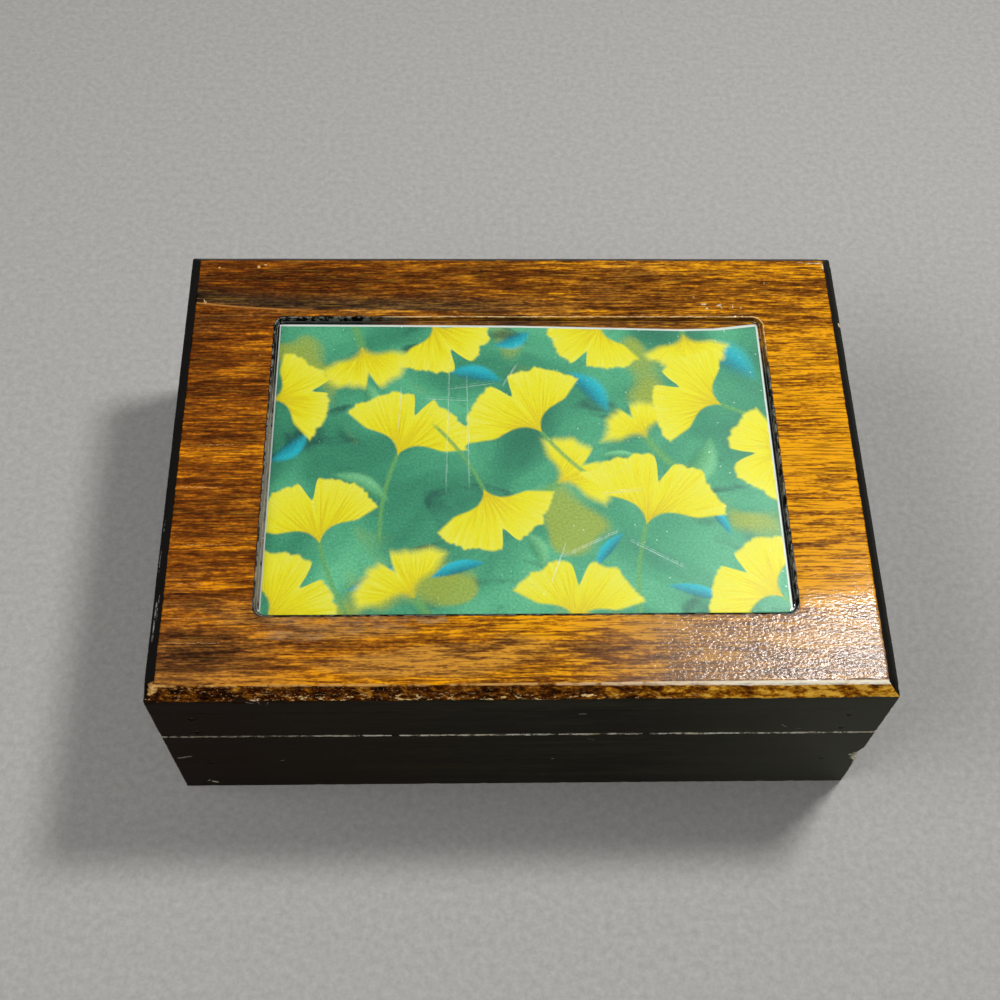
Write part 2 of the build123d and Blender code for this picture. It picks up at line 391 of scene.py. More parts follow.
# %% Wear for the boards
chip_heights = np.array([13.5, 16.0, 19.5, 22.5, 25.5, 28.0, 30.0, 32.0]) * mm
chip_widths = np.array([0.0, 0.7, 1.1, 2.6, 3.3, 1.6, 0.9, 0.0]) * mm
chip_lean = 0.75
splinter_size = (9 * mm, 0.9 * mm, 0.7 * mm)
nick_size = (2.2 * mm, 2.2 * mm, 2.2 * mm)
bare_over = 0.12 * mm
pit_radius = 0.75 * mm
pit_depth = 0.42 * mm
nick_reach = 0.9 * mm
nick_depth = 0.28 * mm
board_gap = 1.5 * mm
nail_patch, nail_gap = 0.8 * mm, 0.14 * mm
chip_gap = 0.25 * mm


def splinter(points):
    """Breaks the front right corner of the base away. Says how far each point moved."""
    into = half_width - points[:, 0]
    back = points[:, 1] + half_depth
    ragged = 1 + 0.4 * roughness_of(points, splinter_size, 5.2)
    width = np.interp(points[:, 2], chip_heights, chip_widths) * ragged
    width = np.maximum(width, 1e-9)
    share = into / width + back / (width * chip_lean)
    inside = share < 1
    push = np.where(inside, width * (1 - share) / 2, 0)
    points[:, 0] -= push
    points[:, 1] += push * chip_lean
    return push


def nail_pits(points, nails):
    """Sinks a small pit over each nail head in a front or back face."""
    for x, z in nails:
        distance = np.hypot(points[:, 0] - x, points[:, 2] - z)
        on_face = half_depth - np.abs(points[:, 1]) < 0.1 * mm
        sunk = on_face & (distance < pit_radius)
        points[sunk, 1] -= np.sign(points[sunk, 1]) * pit_depth


def worn_edges(points, low, high):
    """Small nicks along the outer edges of the box between these heights."""
    room = np.column_stack((
        half_width - np.abs(points[:, 0]),
        half_depth - np.abs(points[:, 1]),
        np.minimum(points[:, 2] - low, high - points[:, 2]),
    ))
    nearest = np.sort(room, axis=1)
    at_edge = (nearest[:, 1] < nick_reach) & (nearest[:, 0] < 0.5 * mm)
    nicks = np.clip(roughness_of(points[at_edge], nick_size, 9.1, 3), 0, 1)
    depth = nick_depth * nicks * (1 - nearest[at_edge, 1] / nick_reach)
    inward = (room[at_edge] < 1.2 * mm) * 1.0
    away = np.sign(points[at_edge] - np.array((0, 0, (low + high) / 2)))
    points[at_edge] -= away * inward * depth[:, None]


print("The splinter is", round((chip_heights[-1] - chip_heights[0]) / mm, 1), "mm tall")

# %% Make the boards
def brad_places(node):
    """Where the nail heads stand on the front face, as x and z, read from the CAD nails."""
    groups = {}
    for vertex in nodes[node].data.vertices:
        if vertex.co.y < -half_depth + 1.0 * mm:
            key = (math.floor(vertex.co.x / (5 * mm)), math.floor(vertex.co.z / (5 * mm)))
            groups.setdefault(key, []).append(vertex.co)
    return [(sum(p.x for p in g) / len(g), sum(p.z for p in g) / len(g)) for g in groups.values()]


def worn_board(node, body, low_z, high_z, nails=(), chipped=False):
    """Replaces one CAD board by a mesh with eased and worn edges."""
    low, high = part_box(node)
    patches_x = [(x - nail_patch, x + nail_patch, nail_gap) for x, z in nails]
    patches_z = [(z - nail_patch, z + nail_patch, nail_gap) for x, z in nails]
    patches_y = []
    if chipped:
        patches_x.append((high.x - 5 * mm, high.x, 0.22 * mm))
        patches_y.append((low.y, low.y + 3.5 * mm, chip_gap))
        patches_z.append((chip_heights[0] - 1 * mm, chip_heights[-1] + 1 * mm, chip_gap))
    xs = grid_lines(low.x, high.x, board_gap, patches_x)
    ys = grid_lines(low.y, high.y, board_gap, patches_y)
    zs = grid_lines(low.z, high.z, board_gap, patches_z)
    points, faces = box_of_lines(xs, ys, zs)
    bare = splinter(points) if chipped else np.zeros(len(points))
    nail_pits(points, nails)
    round_edges(points, low, high, joint_ease)
    outer_low = (-half_width, -half_depth, low_z)
    outer_high = (half_width, half_depth, high_z)
    round_edges(points, outer_low, outer_high, corner_ease, [(0, 1)])
    round_edges(points, outer_low, outer_high, edge_ease, [(0, 2), (1, 2)])
    worn_edges(points, low_z, high_z)
    board = new_piece(node + "_worn", points, faces)
    mask = board.data.attributes.new("bare", "FLOAT", "POINT")
    mask.data.foreach_set("value", np.clip(bare / bare_over, 0, 1).astype(np.float32))
    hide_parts(node)
    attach(board, body)
    return board


base_nails = brad_places("base_corner_brads")
lid_nails = brad_places("lid_corner_brads")
base_boards = {
    "front": worn_board("base_front_wall", "base", 0, base_top, base_nails, chipped=True),
    "left": worn_board("base_left_wall", "base", 0, base_top),
    "right": worn_board("base_right_wall", "base", 0, base_top),
}
lid_rails = {
    "front": worn_board("lid_front_rail", "lid", lid_bottom, box_top, lid_nails),
    "left": worn_board("lid_left_rail", "lid", lid_bottom, box_top),
    "right": worn_board("lid_right_rail", "lid", lid_bottom, box_top),
}
print("Nails on the front:", len(base_nails), "in the base,", len(lid_nails), "in the lid")
for side, board in [*base_boards.items(), *lid_rails.items()]:
    print(" ", board.name, len(board.data.polygons), "faces")

# %% [markdown]
# ## Print, cover and felt
#
# The print was trimmed by hand: its back edge dips in the middle and comes up again at the right corner,
# with a white border of uneven width. A material could make the paper clear beyond the cut, but the sheet
# would keep its straight edge. So the print is a thin mesh whose own outline follows the cut.

# %% Make the print
trim_places = np.array([-76, -40, 0, 30, 52, 64, 73, 76.2]) * mm
trim_depths = np.array([0.1, 0.3, 0.6, 1.4, 2.0, 1.7, 0.5, 0.1]) * mm
trim_power = 8
print_gap_x, print_gap_y = 2.0 * mm, 2.5 * mm


def trimmed_print():
    """The print: a thin sheet whose back edge follows the hand-made cut."""
    xs = grid_lines(print_low.x, print_high.x, print_gap_x)
    ys = grid_lines(print_low.y, print_high.y, print_gap_y)
    zs = np.array([print_low.z, print_high.z])
    points, faces = box_of_lines(xs, ys, zs)
    cut = np.interp(points[:, 0], trim_places, trim_depths)
    share = (points[:, 1] - print_low.y) / (print_high.y - print_low.y)
    points[:, 1] -= cut * share**trim_power
    sheet = new_piece("print_sheet", points, faces, smooth=False)
    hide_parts("picture_print")
    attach(sheet, "lid")
    return sheet


print_sheet = trimmed_print()
print("Print:", len(print_sheet.data.polygons), "faces")

# %% [markdown]
# The cover is a sheet of acrylic with rounded corners, polished round at its edges, where it catches light.
# A cube with a Bevel modifier would do. The loft is at hand, though, and gives the cover the outline of
# its pocket. A film of air stays under it, because two faces in one place render as noise.

# %% Make the cover
air_film = 0.03 * mm
cover_ease = 0.3 * mm


def acrylic_cover():
    """The clear sheet, lofted from the same outline as its pocket, with a polished round edge."""
    ease = cover_ease
    under = cover_low.z + air_film
    half_x, half_y = pocket_half_x - cover_gap, pocket_half_y - cover_gap
    radius = pocket_radius - cover_gap
    rings = []
    for inset, z in (
        (8 * mm, under), (1.3 * ease, under), (ease, under),
        (0.3 * ease, under + 0.3 * ease), (0, under + ease), (0, cover_high.z - ease),
        (0.3 * ease, cover_high.z - 0.3 * ease), (ease, cover_high.z), (1.3 * ease, cover_high.z),
        (8 * mm, cover_high.z),
    ):
        flat = outline(*pocket, half_x - inset, half_y - inset, radius)
        rings.append((flat, z))
    points, faces = loft(rings)
    cover = new_piece("cover_sheet", points, [face[::-1] for face in faces])
    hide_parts("picture_cover")
    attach(cover, "lid")
    return cover


cover_sheet = acrylic_cover()
print("Cover:", len(cover_sheet.data.polygons), "faces")

# %% [markdown]
# Felt pads line the base and the lid, and are hidden while the lid is shut. A cloth simulation would suit a
# loose sheet, but these lie flat, so each is a thin block with soft edges. Its shown face is slightly
# uneven, since bump in the material alone would leave the pad's outline straight.

# %% Make the felt linings
nap_depth = 0.14 * mm
nap_reach = 0.6 * mm
nap_lump = (2.6 * mm, 2.6 * mm, 2.6 * mm)
felt_gap, felt_gap_z = 1.2 * mm, 0.6 * mm
felt_ease = 0.5 * mm


def felt_lining(node, body):
    """A felt pad: a thin block with soft edges and a slightly uneven nap."""
    low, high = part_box(node)
    xs = grid_lines(low.x, high.x, felt_gap)
    ys = grid_lines(low.y, high.y, felt_gap)
    zs = grid_lines(low.z, high.z, felt_gap_z)
    points, faces = box_of_lines(xs, ys, zs)
    round_edges(points, low, high, felt_ease)
    shown = 1 if body == "base" else -1
    face = high.z if body == "base" else low.z
    uneven = roughness_of(points, nap_lump, 3.7, 3)
    on_face = np.clip(1 - np.abs(points[:, 2] - face) / nap_reach, 0, 1)
    points[:, 2] -= shown * on_face * nap_depth * (1 + uneven)
    pad = new_piece(node + "_cloth", points, faces)
    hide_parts(node)
    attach(pad, body)
    return pad


felts = [felt_lining("base_felt_lining", "base"), felt_lining("lid_felt_lining", "lid")]
print("Felt pads:", [pad.name for pad in felts])

# %% [markdown]
# ## Node helpers
#
# Materials are written as code, so a helper adds one node and fills in its sockets. An input may be a
# plain value, or the output of another node, which is then linked.

# %% Helpers for shader nodes
def feed(tree, made, inputs):
    """Fills in a node's inputs. Each is a plain value, or an output socket to link."""
    for name, value in inputs.items():
        if isinstance(value, bpy.types.NodeSocket):
            tree.links.new(value, made.inputs[name])
        else:
            made.inputs[name].default_value = value
    return made


def node(tree, kind, inputs=None, **settings):
    """Adds a shader node with its settings and inputs."""
    made = tree.nodes.new("ShaderNode" + kind)
    for name, value in settings.items():
        setattr(made, name, value)
    return feed(tree, made, inputs or {})


print("Helpers that add a node and fill it in")

# %% Helpers that calculate with masks
def maths(tree, operation, *values, clamp=False):
    """A Math node's result."""
    made = node(tree, "Math", dict(enumerate(values)), operation=operation, use_clamp=clamp)
    return made.outputs[0]


def vectors(tree, operation, *values):
    """A Vector Math node's result: a number for a length, distance or dot product, or else a vector."""
    made = node(tree, "VectorMath", dict(enumerate(values)), operation=operation)
    return made.outputs["Value" if operation in ("LENGTH", "DISTANCE", "DOT_PRODUCT") else "Vector"]


def scaled(tree, vector, factor):
    """A vector times one number."""
    return node(tree, "VectorMath", {0: vector, "Scale": factor}, operation="SCALE").outputs["Vector"]


def times(tree, *values):
    """The product of two or more values."""
    result = values[0]
    for value in values[1:]:
        result = maths(tree, "MULTIPLY", result, value)
    return result


def plus(tree, first, second):
    """The sum of two values."""
    return maths(tree, "ADD", first, second)


def minus(tree, first, second):
    """The first value less the second."""
    return maths(tree, "SUBTRACT", first, second)


def most(tree, *values):
    """The largest of several masks."""
    result = values[0]
    for value in values[1:]:
        result = maths(tree, "MAXIMUM", result, value)
    return result


def weigh(tree, start, *parts):
    """start plus each part's value times its weight."""
    total = start
    for value, weight in parts:
        total = maths(tree, "MULTIPLY_ADD", value, weight, total)
    return total


def between(tree, value, low, high, smooth=True):
    """0 where value is under low, 1 where it is over high. low may be the larger of the two."""
    kind = "SMOOTHSTEP" if smooth else "LINEAR"
    made = node(
        tree, "MapRange", {"Value": value, "From Min": low, "From Max": high}, interpolation_type=kind
    )
    return made.outputs["Result"]


print("Helpers that calculate with masks")

# %% Helpers for colour, noise and bump
def blend(tree, factor, first, second, way="MIX"):
    """Mixes two colours."""
    sides = {6: first, 7: second}
    for name, colour in sides.items():
        if not isinstance(colour, bpy.types.NodeSocket):
            sides[name] = (*colour, 1)
    return node(tree, "Mix", {0: factor} | sides, data_type="RGBA", blend_type=way).outputs[2]


def ramp(tree, value, stops):
    """A colour ramp from (place, colour) stops."""
    made = node(tree, "ValToRGB", {0: value})
    row = made.color_ramp.elements
    while len(row) < len(stops):
        row.new(0.5)
    for element, (place, colour) in zip(row, stops):
        element.position = place
        element.color = (*colour, 1)
    return made.outputs["Color"]


def stretched(tree, vector, scale, offset=(0, 0, 0)):
    """Coordinates scaled, in lumps per metre, and moved."""
    return node(tree, "Mapping", {"Vector": vector, "Scale": scale, "Location": offset}).outputs[0]


def cloudy(tree, vector, detail=2.0, roughness=0.5, distortion=0.0):
    """Noise from 0 to 1, at one lump per unit of vector."""
    inputs = {
        "Vector": vector, "Scale": 1.0, "Detail": detail,
        "Roughness": roughness, "Distortion": distortion,
    }
    return node(tree, "TexNoise", inputs).outputs["Fac"]


def bumpy(tree, height, distance, strength):
    """A normal that light meets as if the surface rose by height times distance."""
    return node(tree, "Bump", {"Height": height, "Distance": distance, "Strength": strength}).outputs[0]


print("Helpers for colour, noise and bump")

# %% Helpers for groups and materials
def new_group(name, inputs, outputs):
    """An empty node group. inputs are (name, kind, default) and outputs (name, kind)."""
    group = bpy.data.node_groups.new(name, "ShaderNodeTree")
    for label, kind, default in inputs:
        socket = group.interface.new_socket(label, in_out="INPUT", socket_type="NodeSocket" + kind)
        if default is not None:
            socket.default_value = default
    for label, kind in outputs:
        group.interface.new_socket(label, in_out="OUTPUT", socket_type="NodeSocket" + kind)
    return group, group.nodes.new("NodeGroupInput").outputs, group.nodes.new("NodeGroupOutput").inputs


def use_group(tree, group, inputs):
    """Places a node group in a material and returns its outputs."""
    return node(tree, "Group", inputs, node_tree=group).outputs


def new_material(name):
    """A material with its Principled shader, and the piece's own coordinates in metres."""
    material = bpy.data.materials.new(name)
    material.use_nodes = True
    tree = material.node_tree
    shader = tree.nodes["Principled BSDF"]
    place = node(tree, "TexCoord").outputs["Object"]
    return material, tree, shader, place


print("Helpers for groups and materials")

# %% [markdown]
# ## Effects that several materials share
#
# Grain, worn edges, scratches and specks appear in more than one material. Each is a node group with
# named inputs, made once. Grain is noise stretched along the wood, at three sizes: fibres under a
# millimetre wide, streaks of a few millimetres, and slow bands that bend like growth rings. Because it is
# solid, a board's end shows the same fibres cut across.

# %% The grain group
def make_grain():
    """Masks for wood whose fibres run along the first axis of Along."""
    group, given, out = new_group(
        "wood grain",
        [("Along", "Vector", None), ("Ring Width", "Float", 0.006), ("Seed", "Vector", (0, 0, 0))],
        [("Fibre", "Float"), ("Streak", "Float"), ("Ring", "Float"), ("Pore", "Float"), ("Blotch", "Float"),
         ("Line", "Float"), ("Speck", "Float"), ("Crisp", "Float"), ("Pale", "Float")],
    )
    moved = vectors(group, "ADD", given["Along"], given["Seed"])
    fine = cloudy(group, stretched(group, moved, (140, 1120, 1120)), 4, 0.70)
    group.links.new(fine, out["Fibre"])
    coarse = cloudy(group, stretched(group, moved, (16, 210, 210)), 4, 0.6, 0.5)
    group.links.new(coarse, out["Streak"])
    bend = cloudy(group, stretched(group, moved, (9, 26, 26)), 2, 0.5)
    across = node(group, "SeparateXYZ", {0: moved}).outputs["Y"]
    bent = maths(group, "MULTIPLY_ADD", bend, 0.03, across)
    turns = maths(group, "DIVIDE", bent, given["Ring Width"])
    ramped = maths(group, "FRACT", turns)
    group.links.new(times(group, ramped, ramped), out["Ring"])
    dashes = cloudy(group, stretched(group, moved, (300, 2300, 2300)), 2, 0.5)
    group.links.new(between(group, dashes, 0.57, 0.70), out["Pore"])
    slow = cloudy(group, stretched(group, moved, (22, 75, 75)), 3, 0.55, 0.3)
    group.links.new(slow, out["Blotch"])
    rare = cloudy(group, stretched(group, moved, (7, 330, 330)), 2, 0.5)
    group.links.new(between(group, rare, 0.66, 0.72), out["Line"])
    dots = cloudy(group, stretched(group, moved, (750, 1500, 1500)), 3, 0.6)
    group.links.new(dots, out["Speck"])
    lines = cloudy(group, stretched(group, moved, (80, 1600, 1600)), 3, 0.65)
    group.links.new(between(group, lines, 0.43, 0.52), out["Crisp"])
    threads = cloudy(group, stretched(group, moved, (90, 1500, 1500), (3, 7, 1)), 3, 0.65)
    group.links.new(between(group, threads, 0.56, 0.64), out["Pale"])
    return group


grain_group = make_grain()
print("Grain group:", len(grain_group.nodes), "nodes")

# %% [markdown]
# Worn edges could be painted by hand or read from the mesh's curvature. The box is a plain block, though,
# so the distance to its nearest edge follows from the place alone: of the three distances to the block's
# faces, the smallest is that of the face itself, and the middle one is that of the nearest edge.

# %% The worn edge group
def make_edge_wear():
    """How far the finish is worn at a point of a block, which is most along its edges."""
    group, given, out = new_group(
        "worn edges",
        [
            ("Place", "Vector", None), ("Centre", "Vector", (0, 0, 0)), ("Half Size", "Vector", (1, 1, 1)),
            ("Reach", "Float", 0.001), ("Amount", "Float", 0.5),
        ],
        [("Wear", "Float")],
    )
    size = vectors(group, "ABSOLUTE", vectors(group, "SUBTRACT", given["Place"], given["Centre"]))
    room = vectors(group, "SUBTRACT", given["Half Size"], size)
    x, y, z = node(group, "SeparateXYZ", {0: room}).outputs
    low = maths(group, "MINIMUM", x, y)
    high = most(group, x, y)
    middle = most(group, low, maths(group, "MINIMUM", high, z))
    patchy = cloudy(group, stretched(group, given["Place"], (230, 230, 230)), 4, 0.7)
    reach = times(group, given["Reach"], between(group, patchy, 0.75, 0.35, False))
    share = minus(group, 1.0, maths(group, "DIVIDE", middle, plus(group, reach, 1e-5)))
    worn = between(group, share, 0.0, 0.35)
    group.links.new(times(group, worn, given["Amount"]), out["Wear"])
    return group


edge_group = make_edge_wear()
print("Edge group:", len(edge_group.nodes), "nodes")

# %% [markdown]
# The box has scratches and nicks, dust, and spots where the finish is knocked off. Each could be a decal, a
# small picture laid over the surface, but a decal has pixels and needs an image. A group that measures the
# distance from a given line or point draws a sharp mark of any size, and noise makes its edge ragged. Dust
# needs no places of its own, so it sits in the cells of a Voronoi texture.

# %% The scratch and speck groups
def make_scratch():
    """One short ragged mark, by its middle, direction, length and width."""
    group, given, out = new_group(
        "scratch",
        [
            ("Place", "Vector", None), ("Middle", "Vector", (0, 0, 0)), ("Direction", "Vector", (1, 0, 0)),
            ("Half Length", "Float", 0.002), ("Half Width", "Float", 0.0002),
        ],
        [("Mark", "Float")],
    )
    rough_place = stretched(group, given["Place"], (900, 900, 900))
    ragged = node(group, "TexNoise", {"Vector": rough_place, "Scale": 1.0})
    shake = scaled(group, vectors(group, "SUBTRACT", ragged.outputs["Color"], (0.5, 0.5, 0.5)), 0.9 * mm)
    moved = vectors(group, "ADD", vectors(group, "SUBTRACT", given["Place"], given["Middle"]), shake)
    run = vectors(group, "DOT_PRODUCT", moved, given["Direction"])
    off = vectors(group, "LENGTH", vectors(group, "SUBTRACT", moved, scaled(group, given["Direction"], run)))
    run_share = maths(group, "DIVIDE", maths(group, "ABSOLUTE", run), given["Half Length"])
    off_share = maths(group, "DIVIDE", off, given["Half Width"])
    inside = times(group, between(group, run_share, 1.0, 0.6), between(group, off_share, 1.0, 0.5))
    group.links.new(inside, out["Mark"])
    return group


def make_specks():
    """Scattered dust and tiny flecks. Share is how many of the cells hold one."""
    group, given, out = new_group(
        "specks",
        [
            ("Place", "Vector", None), ("Cells Per Metre", "Float", 300),
            ("Size", "Float", 0.1), ("Share", "Float", 0.1),
        ],
        [("Speck", "Float")],
    )
    cells = node(group, "TexVoronoi", {"Vector": given["Place"], "Scale": given["Cells Per Metre"]})
    dot = minus(group, 1.0, maths(group, "DIVIDE", cells.outputs["Distance"], given["Size"]))
    lot = node(group, "SeparateColor", {0: cells.outputs["Color"]}).outputs[0]
    chosen = maths(group, "LESS_THAN", lot, given["Share"])
    group.links.new(times(group, between(group, dot, 0.0, 0.5), chosen), out["Speck"])
    return group


scratch_group = make_scratch()
speck_group = make_specks()
print("Scratch and speck groups ready")

# %% The bare spot group
def make_bare_spot():
    """A ragged spot where the finish is knocked off down to the wood."""
    group, given, out = new_group(
        "bare spot",
        [("Place", "Vector", None), ("Middle", "Vector", (0, 0, 0)), ("Reach", "Float", 0.002)],
        [("Spot", "Float")],
    )
    away = vectors(group, "DISTANCE", given["Place"], given["Middle"])
    share = maths(group, "DIVIDE", away, given["Reach"])
    ragged = cloudy(group, stretched(group, given["Place"], (420, 800, 800)), 4, 0.7)
    edge = maths(group, "MULTIPLY_ADD", ragged, 1.6, minus(group, share, 1.3))
    group.links.new(between(group, edge, 0.55, 0.30), out["Spot"])
    return group


spot_group = make_bare_spot()
print("Spot group:", len(spot_group.nodes), "nodes")

# %% [markdown]
# ## The varnished board's finish
#
# One recipe covers the whole board, because the stain was brushed on by hand and the black runs over
# the edges: the top and the front bevel are brown, and the other bevels, the sides and most of the
# pocket's rim are black. Which colour a point gets follows from its place. The brown goes from almost
# black streaks over red-brown to gold, lighter to the right, partly by painted light from the lamp there.
# Gloss comes from a low roughness, and orange peel in the varnish from fine bump. Painted glare greys the
# front right, and painted highlights run along the ridge and the rims. The marks are placed one by one,
# because each can be seen.

# %% List the board's colours
brown_stops = (
    (0.00, (0.014, 0.003, 0.0004)),
    (0.25, (0.070, 0.017, 0.001)),
    (0.50, (0.200, 0.060, 0.003)),
    (0.70, (0.390, 0.135, 0.006)),
    (0.85, (0.620, 0.238, 0.003)),
    (1.00, (0.920, 0.400, 0.005)),
)
drab_stops = (
    (0.00, (0.011, 0.006, 0.003)),
    (0.40, (0.070, 0.034, 0.012)),
    (0.70, (0.210, 0.105, 0.030)),
    (1.00, (0.440, 0.225, 0.060)),
)
bevel_stops = (
    (0.00, (0.006, 0.002, 0.0006)),
    (0.30, (0.040, 0.009, 0.0008)),
    (0.50, (0.110, 0.030, 0.002)),
    (0.68, (0.26, 0.090, 0.005)),
    (0.86, (0.47, 0.190, 0.008)),
    (1.00, (0.74, 0.40, 0.045)),
)
black_stain = (0.0030, 0.0025, 0.0019)
print("Stops:", len(brown_stops), "brown,", len(drab_stops), "drab and", len(bevel_stops), "for the bevel")

# %% List the spots and smears
board_spots = (
    ((-half_width + 2.2 * mm, -half_depth + 2.8 * mm, box_top - 0.9 * mm), 2.3 * mm),
    ((-98.8 * mm, 56.8 * mm, box_top), 0.6 * mm),
    ((-95.3 * mm, 70.9 * mm, box_top), 0.45 * mm),
    ((-82.6 * mm, 71.2 * mm, box_top), 0.6 * mm),
    ((-80.4 * mm, 72.0 * mm, box_top), 0.45 * mm),
    ((57.8 * mm, 58.9 * mm, box_top), 0.45 * mm),
)
pale_spots = (
    ((-half_width + 0.2 * mm, -half_depth + 0.2 * mm, box_top - 4.0 * mm), 1.3 * mm),
    ((half_width - 0.5 * mm, 50.0 * mm, box_top - 3.2 * mm), 0.9 * mm),
)
haze_spots = (((-63, -56.6), 4.6), ((-51, -55.4), 3.4), ((-38, -54.8), 2.8), ((-26, -54.2), 2.0))
smudge_spots = (((-14, -60), 5.0), ((9, -69), 6.0), ((-88, -62), 5.0), ((66, -58), 8.0), ((20, -62), 5.0))
haze_squeeze = 0.4
print("Spots:", len(board_spots) + len(pale_spots), "and smears:", len(haze_spots) + len(smudge_spots))

# %% List the nicks and lines
def nick(x, y, drop, half_length, half_width_mm, lean=(1, 0, 0)):
    """A pale nick in the top or the front bevel: its middle, how far below the top, and its size, in mm."""
    return {
        "Middle": (x * mm, y * mm, box_top - drop * mm), "Direction": tuple(Vector(lean).normalized()),
        "Half Length": half_length * mm, "Half Width": half_width_mm * mm,
    }


nicks = (
    nick(60.9, 56.1, 0, 1.0, 0.30), nick(61.7, 54.5, 0, 0.5, 0.34),
    nick(65.7, 55.8, 0, 0.9, 0.34, (1, 0.5, 0)), nick(66.3, 55.0, 0, 0.8, 0.26, (-0.6, 1, 0)),
    nick(70.1, 55.2, 0, 0.7, 0.22, (0.1, 1, 0)), nick(72.7, 54.8, 0, 0.6, 0.20, (0, 1, 0)),
    nick(81.3, 64.6, 0, 0.5, 0.24, (0.5, 1, 0)), nick(98.6, 72.9, 0, 2.7, 0.30),
    nick(101.2, 71.6, 0, 1.2, 0.32, (0, 1, 0)), nick(94.2, 73.2, 0, 1.1, 0.18),
    nick(-98.8, 57.4, 0, 1.0, 0.16, (0.6, -0.8, 0)), nick(49.5, -64.3, 0, 1.3, 0.26, (1, 0.6, 0)),
    nick(-76.5, -77.4, 3.4, 2.8, 0.50, (1, 0, 0.1)), nick(-73.0, -77.0, 3.0, 1.7, 0.34, (1, 0, 0.5)),
    nick(-79.3, -77.3, 3.7, 1.3, 0.30, (1, 0, -0.5)),
)

# Thin pale lines that follow the grain on the left strip, and painted glare streaks along the bevel beside
# it.
pale_lines = (
    nick(-94.5, -11.2, 0, 7.5, 0.15), nick(-91.0, -30.5, 0, 8.5, 0.12), nick(-94.0, -53.8, 0, 7.0, 0.14),
    nick(-92.0, -61.4, 0, 9.0, 0.13), nick(-90.0, 3.5, 0, 7.0, 0.12), nick(-95.0, -43.0, 0, 6.0, 0.12),
)
bevel_glare_streaks = (
    nick(-103.9, -53.0, 2.4, 7.5, 0.42, (0.01, 1, 0)), nick(-103.2, -50.0, 1.7, 5.0, 0.22, (0.01, 1, 0)),
    nick(-104.3, -35.0, 2.8, 4.5, 0.18, (0.01, 1, 0)), nick(-104.2, -23.0, 2.7, 2.5, 0.16, (0.01, 1, 0)),
)
print("Marks on the board:", len(nicks), "nicks,", len(pale_lines), "pale lines,", len(bevel_glare_streaks), "painted_light_streaks")

# %% Put several marks into one mask
def some_spots(tree, place, spots):
    """One mask for several bare spots, each given by its middle and reach."""
    mask = 0.0
    for middle, reach in spots:
        given = {"Place": place, "Middle": middle, "Reach": reach}
        mask = most(tree, use_group(tree, spot_group, given)["Spot"], mask)
    return mask


def some_scratches(tree, place, marks):
    """One mask for several scratches."""
    mask = 0.0
    for given in marks:
        mask = most(tree, use_group(tree, scratch_group, given | {"Place": place})["Mark"], mask)
    return mask


def some_specks(tree, place, cells, size, share):
    """A mask of scattered specks, at so many cells per metre."""
    given = {"Place": place, "Cells Per Metre": cells, "Size": size, "Share": share}
    return use_group(tree, speck_group, given)["Speck"]


def some_smears(tree, place, smears):
    """One mask for flat smears on the top, each given by its middle and reach in mm, longer along x."""
    squeezed = stretched(tree, place, (haze_squeeze, 1, 1))
    return some_spots(tree, squeezed, [
        ((x * haze_squeeze * mm, y * mm, box_top), reach * mm) for (x, y), reach in smears
    ])


print("Mask helpers ready")

# %% [markdown]
# On the real lid the brown isn't even. It is redder on the left and almost gold on the right, it has drab
# bands along the back and the front, and a dull smear curves in from the left near the front. The lightening
# to the right is partly the wood's own tone and partly painted light from the lamp on that side. A painted
# mask could hold all that in an image. Here each of them follows from where a point lies: masks made from
# x, y and the grain's own noise push one tone up or down, and ramps turn that tone into brown or drab.

# %% The brown of the board's top
sweep_x = 97.4 * mm
sweep_y = 52.6 * mm
sweep_bend = 25 * mm
sweep_rise = 3.6 * mm


def beyond_sweep(tree, x, y, blotch):
    """How far a point lies behind the edge of the sweep, a dull smear that curves in from the left."""
    run = maths(tree, "EXPONENT", weigh(tree, -sweep_x / sweep_bend, (x, -1 / sweep_bend)))
    return weigh(tree, -sweep_y, (y, 1), (run, -sweep_rise), (blotch, -1.2 * mm))


